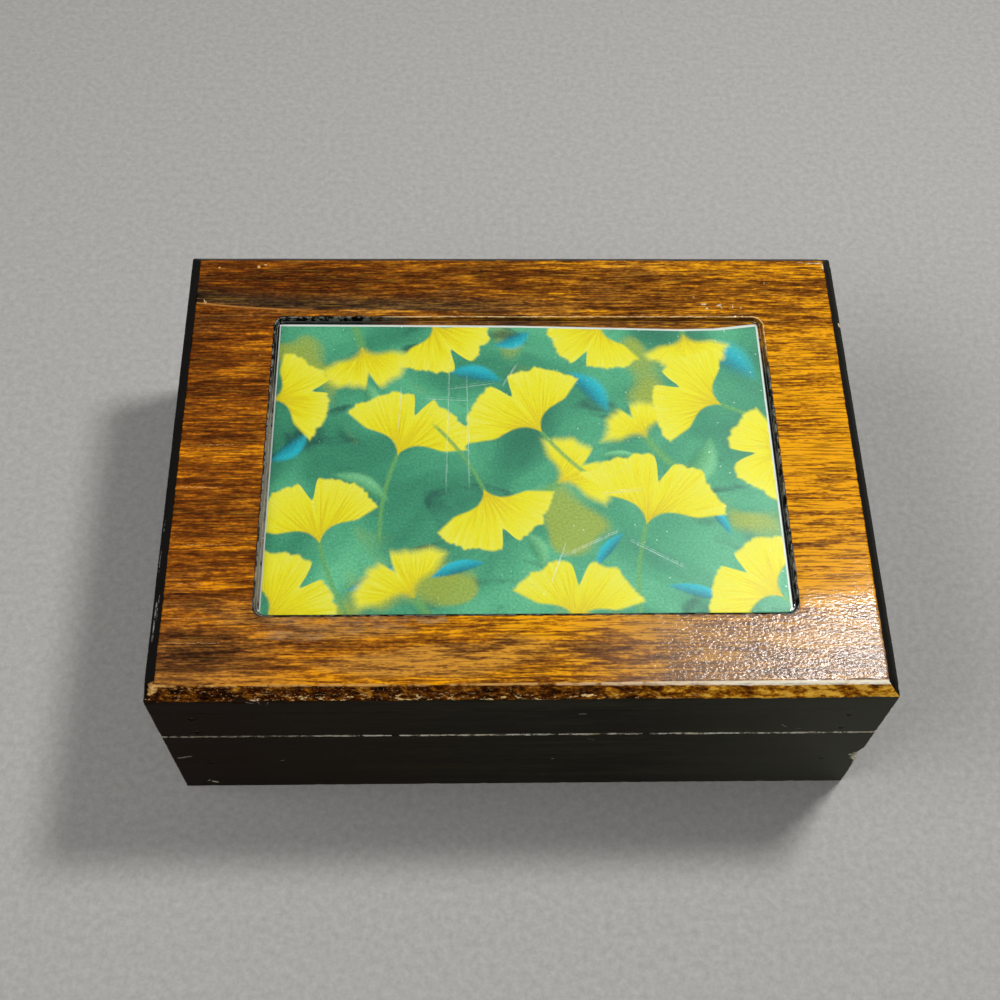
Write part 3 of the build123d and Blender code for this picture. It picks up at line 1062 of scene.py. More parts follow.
def brown_wood(tree, place, x, y, grain, peel_and_glare_place):
    """The brown: redder left, lighter right (partly painted light), drab in bands along the back and the
    front.
    """
    rightness = between(tree, x, -half_width, half_width, False)
    leftness = times(tree, between(tree, x, 0, -half_width, False), 0.95)
    backness = between(tree, y, 30 * mm, 64 * mm)
    frontness = between(tree, y, -30 * mm, -60 * mm)
    dim_corner = times(tree, between(tree, x, -50 * mm, -92 * mm), between(tree, y, -50 * mm, -64 * mm))
    smudged = some_smears(tree, place, smudge_spots)
    past_sweep = beyond_sweep(tree, x, y, grain["Blotch"])
    sweep = times(
        tree, between(tree, past_sweep, -0.4 * mm, 0.5 * mm), between(tree, past_sweep, 8 * mm, 2 * mm),
        between(tree, x, 40 * mm, -40 * mm),
    )
    # Painted light in part: the tone rises to the right, toward the lamp. It drops and turns blotchy where
    # the painted glare lies at the front right.
    tone = weigh(
        tree, -1.38, (rightness, 0.10), (times(tree, rightness, grain["Fibre"]), 0.66),
        (backness, -0.20), (frontness, 0.14), (grain["Streak"], 0.80),
        (grain["Fibre"], 1.60), (grain["Ring"], -0.20), (grain["Blotch"], 0.75), (grain["Speck"], 0.70),
        (grain["Pore"], -0.20), (grain["Line"], -0.30), (grain["Crisp"], 0.15),
        (peel_and_glare_place, -0.85), (times(tree, peel_and_glare_place, grain["Blotch"]), 1.1),
        (smudged, -0.20), (sweep, -0.20), (dim_corner, -0.10),
        (times(tree, backness, rightness), -0.17),
    )
    brown = ramp(tree, tone, brown_stops)
    brown = blend(tree, leftness, brown, (1.0, 0.80, 0.70), "MULTIPLY")
    between_lines = minus(tree, 1.0, grain["Crisp"])
    brown = blend(tree, times(tree, between_lines, 0.56), brown, (0.100, 0.026, 0.0015))

    bands = cloudy(tree, stretched(tree, place, (12, 70, 70), (4, 2, 6)), 3, 0.6, 0.4)
    banded = times(
        tree, between(tree, bands, 0.50, 0.60), between(tree, x, 75 * mm, -75 * mm, False),
        times(tree, most(tree, backness, frontness), 0.75),
    )
    drabness = most(tree, banded, sweep, times(tree, dim_corner, 0.55))
    brown = blend(tree, drabness, brown, ramp(tree, tone, drab_stops))

    paleness = times(tree, grain["Pale"], weigh(tree, 0.14, (rightness, 0.22)))
    brown = blend(tree, paleness, brown, (0.76, 0.38, 0.030))
    thin_lines = times(tree, some_scratches(tree, place, pale_lines), 0.55)
    brown = blend(tree, thin_lines, brown, (0.80, 0.44, 0.17))
    off_sweep = maths(tree, "ABSOLUTE", plus(tree, past_sweep, 0.5 * mm))
    sweep_edge = times(
        tree, between(tree, off_sweep, 0.42 * mm, 0.10 * mm), between(tree, x, -60 * mm, -76 * mm)
    )
    return blend(tree, times(tree, sweep_edge, 0.55), brown, (0.66, 0.32, 0.08))


def haze_and_painted_glare(tree, place, brown, grain, peel_and_glare_place):
    """The brown under a haze near the front left, and greyed by painted glare at the front right."""
    cloud = cloudy(tree, stretched(tree, place, (60, 160, 160)), 4, 0.7)
    hazy = times(
        tree, some_smears(tree, place, haze_spots), between(tree, cloud, 0.34, 0.66),
        weigh(tree, 0.12, (between(tree, grain["Fibre"], 0.34, 0.58), 0.56)),
    )
    haze = blend(tree, grain["Speck"], (0.12, 0.078, 0.045), (0.36, 0.255, 0.165))
    brown = blend(tree, hazy, brown, haze)
    # Painted glare: a grey veil over the brown at the front right, where the lamp's reflection falls.
    grey = blend(tree, grain["Speck"], (0.075, 0.044, 0.028), (0.48, 0.36, 0.265))
    return blend(tree, times(tree, peel_and_glare_place, 0.56), brown, grey)


print("The brown goes from", brown_stops[0][1], "to", brown_stops[-1][1])

# %% [markdown]
# The front bevel is cut so roughly that it shows short golden strokes between dark cuts. It is painted
# lighter toward the right and at its foot there, where the lamp stands, and the ridge above it gets a painted
# highlight, golden on the left and near white on the right. Geometry could carry each stroke, but most are
# thinner than a pixel. So noise that is tilted along the slope draws them, and the same noise makes their
# bump.

# %% The cut bevel and the ridge above it
def cut_bevel(tree, place, x, z, lit_toward_right):
    """The colour of the hand-cut front bevel, and its strokes, which also make its bump."""
    tilted = node(tree, "CombineXYZ", {"X": weigh(tree, x, (z, 1.0)), "Y": z}).outputs[0]
    strokes = cloudy(tree, stretched(tree, tilted, (240, 760, 1)), 5, 0.68, 0.3)
    flecks = cloudy(tree, stretched(tree, place, (600, 1500, 1500)), 3, 0.6)
    knots = cloudy(tree, stretched(tree, tilted, (150, 110, 1), (3, 8, 0)), 2, 0.5)
    low_on_bevel = between(tree, z, box_top - 0.6 * mm, box_top - bevel, False)
    lit_foot = times(tree, lit_toward_right, low_on_bevel)
    # Painted light: the tone rises toward the right, most at the bevel's foot.
    cut_tone = weigh(
        tree, -1.98, (strokes, 2.4), (lit_toward_right, 0.36), (flecks, 1.1), (knots, 1.2), (lit_foot, 0.20)
    )
    colour = ramp(tree, cut_tone, bevel_stops)
    chipped = cloudy(tree, stretched(tree, place, (900, 2200, 2200), (2, 5, 1)), 3, 0.7)
    chipped = times(tree, between(tree, chipped, 0.60, 0.66), between(tree, x, 60 * mm, -70 * mm))
    colour = blend(tree, chipped, colour, (0.52, 0.30, 0.12))
    slivers = cloudy(tree, stretched(tree, place, (420, 1300, 1300), (5, 1, 9)), 3, 0.7)
    slivers = times(
        tree, between(tree, slivers, 0.57, 0.63), between(tree, low_on_bevel, 0.45, 0.75),
        between(tree, x, 60 * mm, 20 * mm), between(tree, x, -84 * mm, -60 * mm),
    )
    return blend(tree, slivers, colour, (0.84, 0.58, 0.24)), strokes


def painted_ridge_highlight(tree, place, y, lumps, lit_toward_right):
    """A mask for the painted highlight along the ridge between the top and the front bevel."""
    from_front = minus(tree, plus(tree, y, half_depth), bevel)
    off_ridge = weigh(tree, minus(tree, from_front, 0.10 * mm), (lumps, 0.35 * mm))
    off_ridge = weigh(tree, maths(tree, "ABSOLUTE", off_ridge), (lit_toward_right, -0.26 * mm))
    along_ridge = cloudy(tree, stretched(tree, place, (160, 20, 20)), 3, 0.6)
    kept = between(tree, weigh(tree, along_ridge, (lit_toward_right, 0.16)), 0.38, 0.56)
    return times(tree, between(tree, off_ridge, 0.42 * mm, 0.12 * mm), kept)


print("Bevel:", len(bevel_stops), "colours from dark cuts to gold")

# %% [markdown]
# The black stain runs over the side and back bevels and into the pocket. Pale marks break it up: painted
# highlights as a golden line behind the print and as glints along the rim and the foot of the bevels,
# painted glare as streaks on the left bevel, and pale shreds on the pocket's left wall, partly the wall's
# own pale colour and partly painted glints from the cover's edge. Behind the print the rim is left
# unstained, as a painted reflection of the print in its wall. Such places could be painted as vertex
# colours. The distance from the pocket's outline finds them without any work by hand.

# %% The black stain and the worn rims
stain_blur = 0.18 * mm
rim_line_width = 0.26 * mm


def distance_from_rim(tree, x, y):
    """How far outside the pocket's wall a point lies."""
    core_x, core_y = pocket_half_x - pocket_radius, pocket_half_y - pocket_radius
    past_x = minus(tree, maths(tree, "ABSOLUTE", minus(tree, x, pocket_centre.x)), core_x)
    past_y = minus(tree, maths(tree, "ABSOLUTE", minus(tree, y, pocket_centre.y)), core_y)
    corner = node(tree, "CombineXYZ", {"X": most(tree, past_x, 0.0), "Y": most(tree, past_y, 0.0)})
    return minus(tree, vectors(tree, "LENGTH", corner.outputs[0]), pocket_radius)


def stained_edges(tree, x, y, z, shaky):
    """A mask for the black that covers the back and side bevels and everything below the bevels."""
    wide = plus(tree, maths(tree, "ABSOLUTE", x), shaky)
    past_side = minus(tree, wide, half_width - bevel)
    past_front = minus(tree, times(tree, y, -1.0), half_depth - bevel)
    side_of_mitre = between(tree, minus(tree, past_side, past_front), -stain_blur, stain_blur)
    on_sides = times(tree, between(tree, past_side, -stain_blur, stain_blur), side_of_mitre)
    back_line, foot_line = half_depth - bevel, box_top - bevel
    on_back = between(tree, plus(tree, y, shaky), back_line - stain_blur, back_line + stain_blur)
    below = between(tree, plus(tree, z, shaky), foot_line - stain_blur, foot_line - 3 * stain_blur)
    return most(tree, on_sides, on_back, below)


def rims_and_painted_glints(tree, place, x, y, z, lumps, black, colour):
    """Adds the black stain, but not on the back rim (a painted reflection), and pale places, mostly painted
    highlights.
    """
    from_rim = distance_from_rim(tree, x, y)
    torn = cloudy(tree, stretched(tree, place, (300, 420, 300), (7, 3, 0)), 4, 0.75)
    # Painted reflection: behind the print the rim is left unstained, so its wall shows brown where the print
    # is mirrored in it.
    plain_rim = times(tree, between(tree, x, -50 * mm, -30 * mm), between(tree, y, 30 * mm, 45 * mm))
    stained_elsewhere = weigh(tree, 1.0, (plain_rim, -0.95))
    stained_rim = between(tree, weigh(tree, from_rim, (lumps, -0.9 * mm)), 0.22 * mm, -0.06 * mm)
    black = most(tree, black, times(tree, stained_rim, stained_elsewhere))
    outer_half = between(tree, x, half_width - 0.55 * bevel, half_width - 0.25 * bevel)
    colour = blend(tree, black, colour, blend(tree, outer_half, black_stain, (0.014, 0.015, 0.010)))

    # Painted highlights: broken glints along the pocket's rim.
    rim_glint_breakup = between(tree, weigh(tree, torn, (plain_rim, 0.04)), 0.47, 0.56)
    off_rim = maths(tree, "ABSOLUTE", minus(tree, from_rim, 0.12 * mm))
    glint = times(tree, between(tree, off_rim, 0.24 * mm, 0.06 * mm), rim_glint_breakup, stained_elsewhere)
    colour = blend(tree, glint, colour, (0.26, 0.25, 0.22))
    # Painted glare: pale streaks on the left bevel.
    streak = times(tree, some_scratches(tree, place, bevel_glare_streaks), between(tree, torn, 0.40, 0.56))
    colour = blend(tree, streak, colour, (0.30, 0.28, 0.25))

    # Pale shreds on the pocket's left wall: partly the wall's own pale colour, partly painted glints from the
    # cover's edge.
    shreds = cloudy(tree, stretched(tree, place, (500, 110, 1600), (2, 8, 4)), 3, 0.7)
    left_wall = times(
        tree, between(tree, x, -66 * mm, -72 * mm), between(tree, y, 38 * mm, 10 * mm),
        between(tree, z, box_top - 0.20 * mm, box_top - 0.45 * mm),
        between(tree, from_rim, 0.35 * mm, 0.15 * mm), between(tree, shreds, 0.36, 0.50), 0.85,
    )
    colour = blend(tree, left_wall, colour, (0.37, 0.32, 0.255))

    # Painted highlight: a broken golden line along the back rim, behind the print.
    on_top = between(tree, z, box_top - 0.5 * mm, box_top - 0.25 * mm)
    off_line = maths(tree, "ABSOLUTE", weigh(tree, from_rim, (lumps, -0.5 * mm)))
    rim_highlight = times(
        tree, between(tree, off_line, rim_line_width, 0.08 * mm), plain_rim, on_top,
        weigh(tree, 0.35, (rim_glint_breakup, 0.50)),
    )
    colour = blend(tree, rim_highlight, colour, (0.84, 0.58, 0.27))

    # Painted highlights: broken glints along the foot of the bevels.
    foot = most(tree, minus(tree, maths(tree, "ABSOLUTE", x), half_width), minus(tree, y, half_depth))
    off_foot = maths(tree, "ABSOLUTE", weigh(tree, foot, (z, -1), (lumps, 0.5 * mm)))
    off_foot = maths(tree, "ABSOLUTE", minus(tree, off_foot, box_top - bevel - 0.1 * mm))
    foot_glint = times(
        tree, between(tree, off_foot, 0.30 * mm, 0.08 * mm), between(tree, torn, 0.50, 0.60), 0.7
    )
    return blend(tree, foot_glint, colour, (0.20, 0.20, 0.17)), black


print("Stain and rims ready")

# %% [markdown]
# Now the parts meet, each laid over the one before: brown, bevel and ridge, stain and rims, then the marks.
# Two materials are made from it. The top gets the varnish's full shine, and the edges hardly any, because
# a shiny black edge would mirror its bright surroundings and look grey.

# %% Put the board's material together
def varnished_board(name, specular):
    """The board's whole finish. Its edges get a copy with less shine."""
    material, tree, shader, place = new_material(name)
    x, y, z = node(tree, "SeparateXYZ", {0: place}).outputs
    grain = use_group(tree, grain_group, {"Along": place, "Ring Width": 14.5 * mm, "Seed": (0.31, 0.12, 0.2)})
    # Where the lamp's reflection falls near the front right. The orange peel's bump and roughness there are
    # real, its darker, blotchy, greyed colour is painted glare.
    peel_and_glare_place = times(tree, between(tree, x, 8 * mm, 52 * mm), between(tree, y, -42 * mm, -60 * mm))
    # Painted light: the front bevel and its ridge get lighter toward the right, where the lamp stands.
    lit_toward_right = between(tree, x, -10 * mm, 80 * mm)
    lumps = cloudy(tree, stretched(tree, place, (420, 420, 420)), 3, 0.6)
    shaky = maths(tree, "MULTIPLY_ADD", lumps, 0.7 * mm, -0.35 * mm)

    brown = brown_wood(tree, place, x, y, grain, peel_and_glare_place)
    brown = haze_and_painted_glare(tree, place, brown, grain, peel_and_glare_place)
    cut_colour, strokes = cut_bevel(tree, place, x, z, lit_toward_right)
    bevel_line = half_depth - bevel
    on_bevel = between(tree, minus(tree, shaky, y), bevel_line, bevel_line + stain_blur)
    colour = blend(tree, on_bevel, brown, cut_colour)
    # Painted highlight along the ridge: golden on the left, near white on the right.
    ridge_highlight_colour = blend(tree, lit_toward_right, (0.66, 0.34, 0.09), (0.94, 0.86, 0.68))
    colour = blend(tree, painted_ridge_highlight(tree, place, y, lumps, lit_toward_right), colour, ridge_highlight_colour)
    black = stained_edges(tree, x, y, z, shaky)
    colour, black = rims_and_painted_glints(tree, place, x, y, z, lumps, black, colour)

    light = weigh(tree, -2.3, (grain["Fibre"], 2.8), (grain["Speck"], 2.9))
    rubbed = some_spots(tree, place, board_spots)
    colour = blend(tree, rubbed, colour, blend(tree, light, (0.30, 0.11, 0.015), (0.82, 0.49, 0.16)))
    bare = most(tree, some_spots(tree, place, pale_spots), some_scratches(tree, place, nicks))
    bare = most(tree, bare, times(tree, some_specks(tree, place, 150, 0.035, 0.14), 0.5))
    colour = blend(tree, bare, colour, blend(tree, light, (0.42, 0.27, 0.13), (0.86, 0.71, 0.48)))
    spots = most(tree, rubbed, bare)

    peel = cloudy(tree, stretched(tree, place, (800, 1600, 1600)), 2, 0.5)
    peel_height = times(tree, peel, weigh(tree, 0.03, (peel_and_glare_place, 0.99)))
    drag = times(tree, grain["Fibre"], 0.03)
    cut_height = times(tree, strokes, 1.2, on_bevel)
    height = plus(tree, plus(tree, peel_height, drag), cut_height)
    height = weigh(tree, height, (grain["Pore"], -0.015), (spots, -0.6))

    dull = most(tree, spots, times(tree, black, 0.55))
    shine = weigh(tree, 0.07, (peel, 0.08), (dull, 0.40), (on_bevel, 0.20), (peel_and_glare_place, 0.04))
    feed(tree, shader, {
        "Base Color": colour, "Roughness": shine, "Specular IOR Level": specular,
        "Normal": bumpy(tree, height, 0.17 * mm, 1.0),
    })
    return material


def dress(piece, material):
    """Gives a piece one material, whatever slots it has."""
    piece.data.materials.clear()
    piece.data.materials.append(material)


board_material = varnished_board("varnished brown board", 0.38)
edge_material = varnished_board("varnished edges of the board", 0.03)
dress(lid_board, board_material)
lid_board.data.materials.append(edge_material)
for polygon in lid_board.data.polygons:
    polygon.material_index = int(polygon.center.z < box_top - 0.05 * mm)
print("Board material:", len(board_material.node_tree.nodes), "nodes")

# %% [markdown]
# ## The black-stained boards
#
# Front, sides and back are stained so dark that grain shows only as a slight change of tone and shine. The
# edges give the finish away: along the seam the stain is rubbed off, which draws a broken pale line. Painted
# light makes the faces lighter and greyer toward the right, where the lamp shines, and makes the seam's
# pale line brighter there, as glints. Bare wood is painted near white, so that a chip looks lit. The side
# boards have their grain along Y, so they get the same group with x and y exchanged.

# %% Make the black-stained wood
def stained_wood(name, low_z, high_z, lengthwise, marks=()):
    """Black-stained wood for a board between these heights, pale where its edges are rubbed, painted lighter
    to the right.
    """
    material, tree, shader, place = new_material(name)
    x, y, z = node(tree, "SeparateXYZ", {0: place}).outputs
    along = place if lengthwise else node(tree, "CombineXYZ", {"X": y, "Y": x, "Z": z}).outputs[0]
    grain = use_group(tree, grain_group, {"Along": along, "Ring Width": 0.006, "Seed": (low_z, 0.7, 0.4)})
    tone = weigh(tree, -0.62, (grain["Streak"], 1.1), (grain["Fibre"], 0.9), (grain["Blotch"], 0.4))
    colour = ramp(tree, tone, (
        (0.0, (0.0070, 0.0062, 0.0036)), (0.5, (0.0190, 0.0178, 0.0106)), (1.0, (0.0470, 0.0425, 0.0250)),
    ))
    redness = between(tree, x, 5 * mm, -85 * mm, False)
    colour = blend(tree, times(tree, redness, 0.80), colour, (0.0150, 0.0044, 0.0006))
    # Painted light: the faces turn lighter and greyer toward the right, where the lamp shines.
    painted_lamp_light = between(tree, x, 20 * mm, half_width)
    colour = blend(tree, times(tree, painted_lamp_light, 0.75), colour, (0.0760, 0.0765, 0.0560))

    middle = (0, 0, (low_z + high_z) / 2)
    half = (half_width, half_depth, (high_z - low_z) / 2)
    worn = use_group(tree, edge_group, {
        "Place": place, "Centre": middle, "Half Size": half, "Reach": 0.80 * mm, "Amount": 1.0,
    })["Wear"]
    at_seam = between(tree, z, base_top - 1.2 * mm, base_top - 0.3 * mm)
    dashes = cloudy(tree, stretched(tree, along, (330, 500, 500)), 5, 0.8)
    on_rim = times(tree, at_seam, between(tree, z, base_top + 0.2 * mm, base_top + 0.1 * mm))
    strength = weigh(tree, 0.16, (times(tree, on_rim, between(tree, dashes, 0.43, 0.52)), 0.84))
    # The seam's pale line is rubbed stain, painted brighter toward the right as glints: partly painted
    # highlight.
    strength = times(tree, strength, weigh(tree, 0.45, (between(tree, x, -75 * mm, -35 * mm), 0.55)))
    worn = times(tree, worn, strength)
    hits = []
    for strength, given in marks:
        hit = use_group(tree, scratch_group, given | {"Place": place})["Mark"]
        hits.append(times(tree, hit, strength))
    broken = node(tree, "Attribute", attribute_name="bare").outputs["Fac"]
    # Bare wood, painted near white at its top so that a chip looks lit: partly its own colour, partly painted
    # light.
    bare_wood_painted_bright = ramp(tree, grain["Fibre"], (
        (0.30, (0.50, 0.38, 0.20)), (0.43, (0.78, 0.70, 0.50)), (0.56, (0.95, 0.93, 0.80)),
    ))
    bare = most(tree, worn, broken, *hits)
    height = weigh(tree, 0.0, (grain["Fibre"], 0.8), (grain["Streak"], 0.6), (bare, -0.5))
    feed(tree, shader, {
        "Base Color": blend(tree, bare, colour, bare_wood_painted_bright),
        "Roughness": weigh(tree, 0.32, (grain["Streak"], 0.22), (bare, 0.35)),
        "Specular IOR Level": 0.02, "Normal": bumpy(tree, height, 0.06 * mm, 0.6),
    })
    return material


print("Stained wood ready")

# %% [markdown]
# The scratches on the front were measured in the photo one by one, since there are few and each can be
# seen. Long boards and side boards get a material each, because their grain runs in different directions,
# and so do base and lid, because wear is measured from the edges of the block that a board belongs to.

# %% Dress the black-stained boards
def mark(x, z, lean, half_length, half_width_mm, strength):
    """A scratch on the front face, with lean as its rise for each step to the right."""
    direction = Vector((1, 0, lean)).normalized()
    return strength, {
        "Middle": (x * mm, -half_depth, z * mm), "Direction": tuple(direction),
        "Half Length": half_length * mm, "Half Width": half_width_mm * mm,
    }


base_marks = (
    mark(-101.0, 27.2, 0.35, 2.8, 0.50, 0.35), mark(-95.2, 4.2, -0.6, 1.3, 0.60, 0.75),
    mark(-97.0, 5.6, 1.2, 0.8, 0.35, 0.6), mark(-71.8, 23.7, 0.3, 0.9, 0.30, 0.30),
    mark(21.0, 40.2, -0.7, 1.6, 0.20, 0.30), mark(10.5, 23.5, 0.2, 0.6, 0.25, 0.35),
)
lid_marks = (
    mark(17.1, 61.0, 0.0, 1.2, 0.28, 0.35), mark(76.5, 50.5, -1.2, 1.6, 0.20, 0.30),
    mark(81.0, 48.0, 0.5, 1.0, 0.18, 0.25), mark(-73.2, 70.9, -2.0, 1.2, 0.16, 0.35),
    mark(-76.0, 71.2, -0.2, 2.0, 0.20, 0.45), mark(-70.8, 70.6, 3.0, 1.4, 0.14, 0.30),
)
woods = {
    ("base", True): stained_wood("black stained base, long boards", 0, base_top, True, base_marks),
    ("base", False): stained_wood("black stained base, side boards", 0, base_top, False),
    ("lid", True): stained_wood("black stained lid, long rails", lid_bottom, box_top, True, lid_marks),
    ("lid", False): stained_wood("black stained lid, side rails", lid_bottom, box_top, False),
}
for body, boards in (("base", base_boards), ("lid", lid_rails)):
    for side, board in boards.items():
        dress(board, woods[body, side == "front"])
dress(nodes["base_back_wall"], woods["base", True])
dress(nodes["lid_back_rail"], woods["lid", True])
lid_board.data.materials.append(woods["lid", True])
for polygon in lid_board.data.polygons:
    if polygon.center.z < box_top - bevel - 0.1 * mm:
        polygon.material_index = 2
print("Stained woods:", [wood.name for wood in woods.values()])

# %% [markdown]
# ## The print
#
# The place of the picture gets a generic design: yellow fan leaves on thin stalks before a blurred green
# and teal ground, in the colours and at the scale of such a photo. A picture could be an image file, but a
# drawn one has no pixels and needs no file. One node group draws a fan leaf anywhere on the sheet, and the
# material places it many times, some sharp and some blurred like leaves behind the focus. One shader can
# only hold so many nodes, so the sheet is dressed in four strips, each with the leaves that reach into it.

# %% The fan leaf group
def make_fan_leaf():
    """One fan leaf with its stalk: Foot is where they meet, Turn is its angle and Blur its softness."""
    group, given, out = new_group(
        "fan leaf",
        [
            ("Place", "Vector", None), ("Foot", "Vector", (0, 0, 0)), ("Turn", "Float", 0.0),
            ("Size", "Float", 0.02), ("Blur", "Float", 0.03),
        ],
        [("Leaf", "Float"), ("Stalk", "Float"), ("Rib", "Float"), ("Out", "Float")],
    )
    offset = vectors(group, "SUBTRACT", given["Place"], given["Foot"])
    spun = node(group, "VectorRotate", {"Vector": offset, "Angle": given["Turn"]}, rotation_type="Z_AXIS")
    unit = scaled(group, spun.outputs[0], maths(group, "DIVIDE", 1.0, given["Size"]))
    u, v, _ = node(group, "SeparateXYZ", {0: unit}).outputs
    out_share = maths(group, "SQRT", plus(group, times(group, u, u), times(group, v, v)))
    angle = maths(group, "ARCTAN2", u, v)
    size = maths(group, "ABSOLUTE", angle)

    seed = scaled(group, given["Foot"], 900.0)
    fan = node(group, "CombineXYZ", {"X": times(group, angle, 2.2), "Y": 0.0}).outputs[0]
    wavy = cloudy(group, vectors(group, "ADD", fan, seed), 3, 0.6)
    notch = between(group, size, 0.16, 0.0)
    rim = weigh(group, 0.72, (wavy, 0.42), (notch, -0.30))
    spread = weigh(group, 0.42, (between(group, out_share, 0.0, 0.62), 0.72))
    inside = minus(group, rim, out_share)
    within = times(group, minus(group, spread, size), most(group, out_share, 0.12))
    nearest = maths(group, "MINIMUM", inside, within)
    soft = times(group, given["Blur"], -1.0)
    group.links.new(between(group, nearest, soft, given["Blur"]), out["Leaf"])

    curve = times(group, times(group, v, v), 0.16)
    off = maths(group, "ABSOLUTE", minus(group, u, curve))
    thin = plus(group, given["Blur"], 0.022)
    stalk = times(group, between(group, off, thin, 0.008), between(group, v, 0.08, 0.0))
    group.links.new(times(group, stalk, between(group, v, -1.3, -1.1)), out["Stalk"])

    ribs = node(group, "CombineXYZ", {"X": times(group, angle, 26.0), "Y": times(group, out_share, 1.6)})
    ribs = vectors(group, "ADD", ribs.outputs[0], seed)
    rib = cloudy(group, ribs, 2, 0.6)
    group.links.new(rib, out["Rib"])
    group.links.new(maths(group, "DIVIDE", out_share, rim), out["Out"])
    return group


fan_leaf_group = make_fan_leaf()
print("Fan leaf group:", len(fan_leaf_group.nodes), "nodes")

# %% [markdown]
# Slim blades in teal and green fill the ground between the fans. A fan could be squeezed into a blade, but
# it costs many more nodes than a blade, which only narrows toward its two ends.

# %% The slim leaf group
def make_slim_leaf():
    """One slim bowed leaf, with Side running from one of its long edges to the other."""
    group, given, out = new_group(
        "slim leaf",
        [
            ("Place", "Vector", None), ("Middle", "Vector", (0, 0, 0)), ("Turn", "Float", 0.0),
            ("Half Size", "Vector", (0.01, 0.002, 1)), ("Blur", "Float", 0.1),
        ],
        [("Leaf", "Float"), ("Side", "Float")],
    )
    offset = vectors(group, "SUBTRACT", given["Place"], given["Middle"])
    spun = node(group, "VectorRotate", {"Vector": offset, "Angle": given["Turn"]}, rotation_type="Z_AXIS")
    unit = vectors(group, "DIVIDE", spun.outputs[0], given["Half Size"])
    u, v, _ = node(group, "SeparateXYZ", {0: unit}).outputs
    bow = times(group, times(group, u, u), 0.5)
    off = plus(group, v, bow)
    width = minus(group, 1.0, times(group, u, u))
    nearest = minus(group, width, maths(group, "ABSOLUTE", off))
    soft = times(group, given["Blur"], -1.0)
    group.links.new(between(group, nearest, soft, given["Blur"]), out["Leaf"])
    group.links.new(maths(group, "MULTIPLY_ADD", off, 0.5, 0.5), out["Side"])
    return group


slim_leaf_group = make_slim_leaf()
print("Slim leaf group:", len(slim_leaf_group.nodes), "nodes")

# %% [markdown]
# Leaves could be scattered at random, but then they crowd in one place and leave holes in another. Here
# each one has its own place, turn, size and blur. The blurred ones come first, because a later leaf covers
# an earlier one. The cover's scratches are listed too, since both the print and the cover show them.

# %% List the leaves, the borders and the cover's scratches
leaves = (
    (-50, 42, 2.9, 17.0, 0.11), (10, -8, 0.9, 17.0, 0.10), (-32, -46, -0.6, 18.0, 0.10),
    (52, 47, 3.0, 16.0, 0.09), (38, 8, -0.5, 14.0, 0.13),
    (-38, 2, 0.35, 24.0, 0.022), (6, 10, -0.60, 25.0, 0.022), (36, -22, 0.30, 26.0, 0.020),
    (-60, -28, -0.20, 23.0, 0.024), (-12, -10, 2.75, 22.0, 0.024), (62, 20, -1.10, 23.0, 0.024),
    (-74, -52, 0.75, 22.0, 0.030), (74, -46, -0.90, 22.0, 0.028), (-28, 51, 2.60, 20.0, 0.030),
    (14, -54, 0.10, 22.0, 0.030), (26, 51, -2.70, 19.0, 0.035), (82, 4, -1.70, 20.0, 0.035),
    (-77, 22, 1.30, 19.0, 0.035),
)
slim_leaves = (
    (-48, -8, 0.5, 9, 2.6, 0.5), (-20, -36, -0.3, 8, 2.0, 0.3), (22, 26, 0.9, 9, 3.0, 0.5),
    (54, -2, 2.1, 10, 3.6, 0.45), (24, -30, -0.9, 7, 1.6, 0.3), (-14, 32, 0.2, 8, 2.6, 0.5),
    (-46, 22, 1.4, 7, 2.2, 0.6), (50, -44, 0.3, 9, 1.8, 0.3), (-44, -40, 2.6, 8, 2.0, 0.35),
    (4, -30, 1.2, 6, 2.2, 0.5), (66, 38, 0.6, 10, 4.0, 0.8), (-70, 4, 2.4, 7, 2.4, 0.5),
    (30, 2, 0.1, 6, 1.4, 0.3), (58, -20, 1.0, 6, 1.4, 0.25), (-2, 44, 2.7, 6, 2.4, 0.5),
)
slim_teal = (0.00, 0.16, 0.20), (0.02, 0.60, 0.74)
slim_green = (0.03, 0.24, 0.10), (0.26, 0.70, 0.34)
print_centre = (print_low + print_high) / 2
shift_x, shift_y = print_centre.x / mm, print_centre.y / mm
deepest_trim = 4 * mm
stalk_length = 1.3
borders = {"left": 0.45 * mm, "right": 0.65 * mm, "back": 0.80 * mm, "front": 0.30 * mm}
cover_scratches = (
    ((-21.2, 14, 0), (0.02, 1, 0), 30.0), ((-15.1, 10, 0), (-0.015, 1, 0), 24.0),
    ((20, -30, 0), (0.9, 0.45, 0), 12.0), ((11, -36, 0), (0.35, 0.93, 0), 8.0),
    ((40, -33, 0), (0.86, -0.5, 0), 11.0), ((-2, 30, 0), (0.5, 0.86, 0), 6.0),
    ((-14, 26, 0), (1, 0.16, 0), 9.0), ((-22, 21, 0), (1, -0.06, 0), 8.0),
    ((-36, 18, 0), (0.05, 1, 0), 9.0), ((31, -12, 0), (1, 0.10, 0), 7.0),
)


def touches(low, high, foot_x, turn, size):
    """Whether a fan leaf with its stalk reaches into the strip from low to high."""
    stalk_x = foot_x - stalk_length * size * math.sin(turn)
    left = min(foot_x - 1.1 * size, stalk_x - 4)
    right = max(foot_x + 1.1 * size, stalk_x + 4)
    return right > low and left < high


print("Leaves:", len(leaves), "fans and", len(slim_leaves), "slim ones")

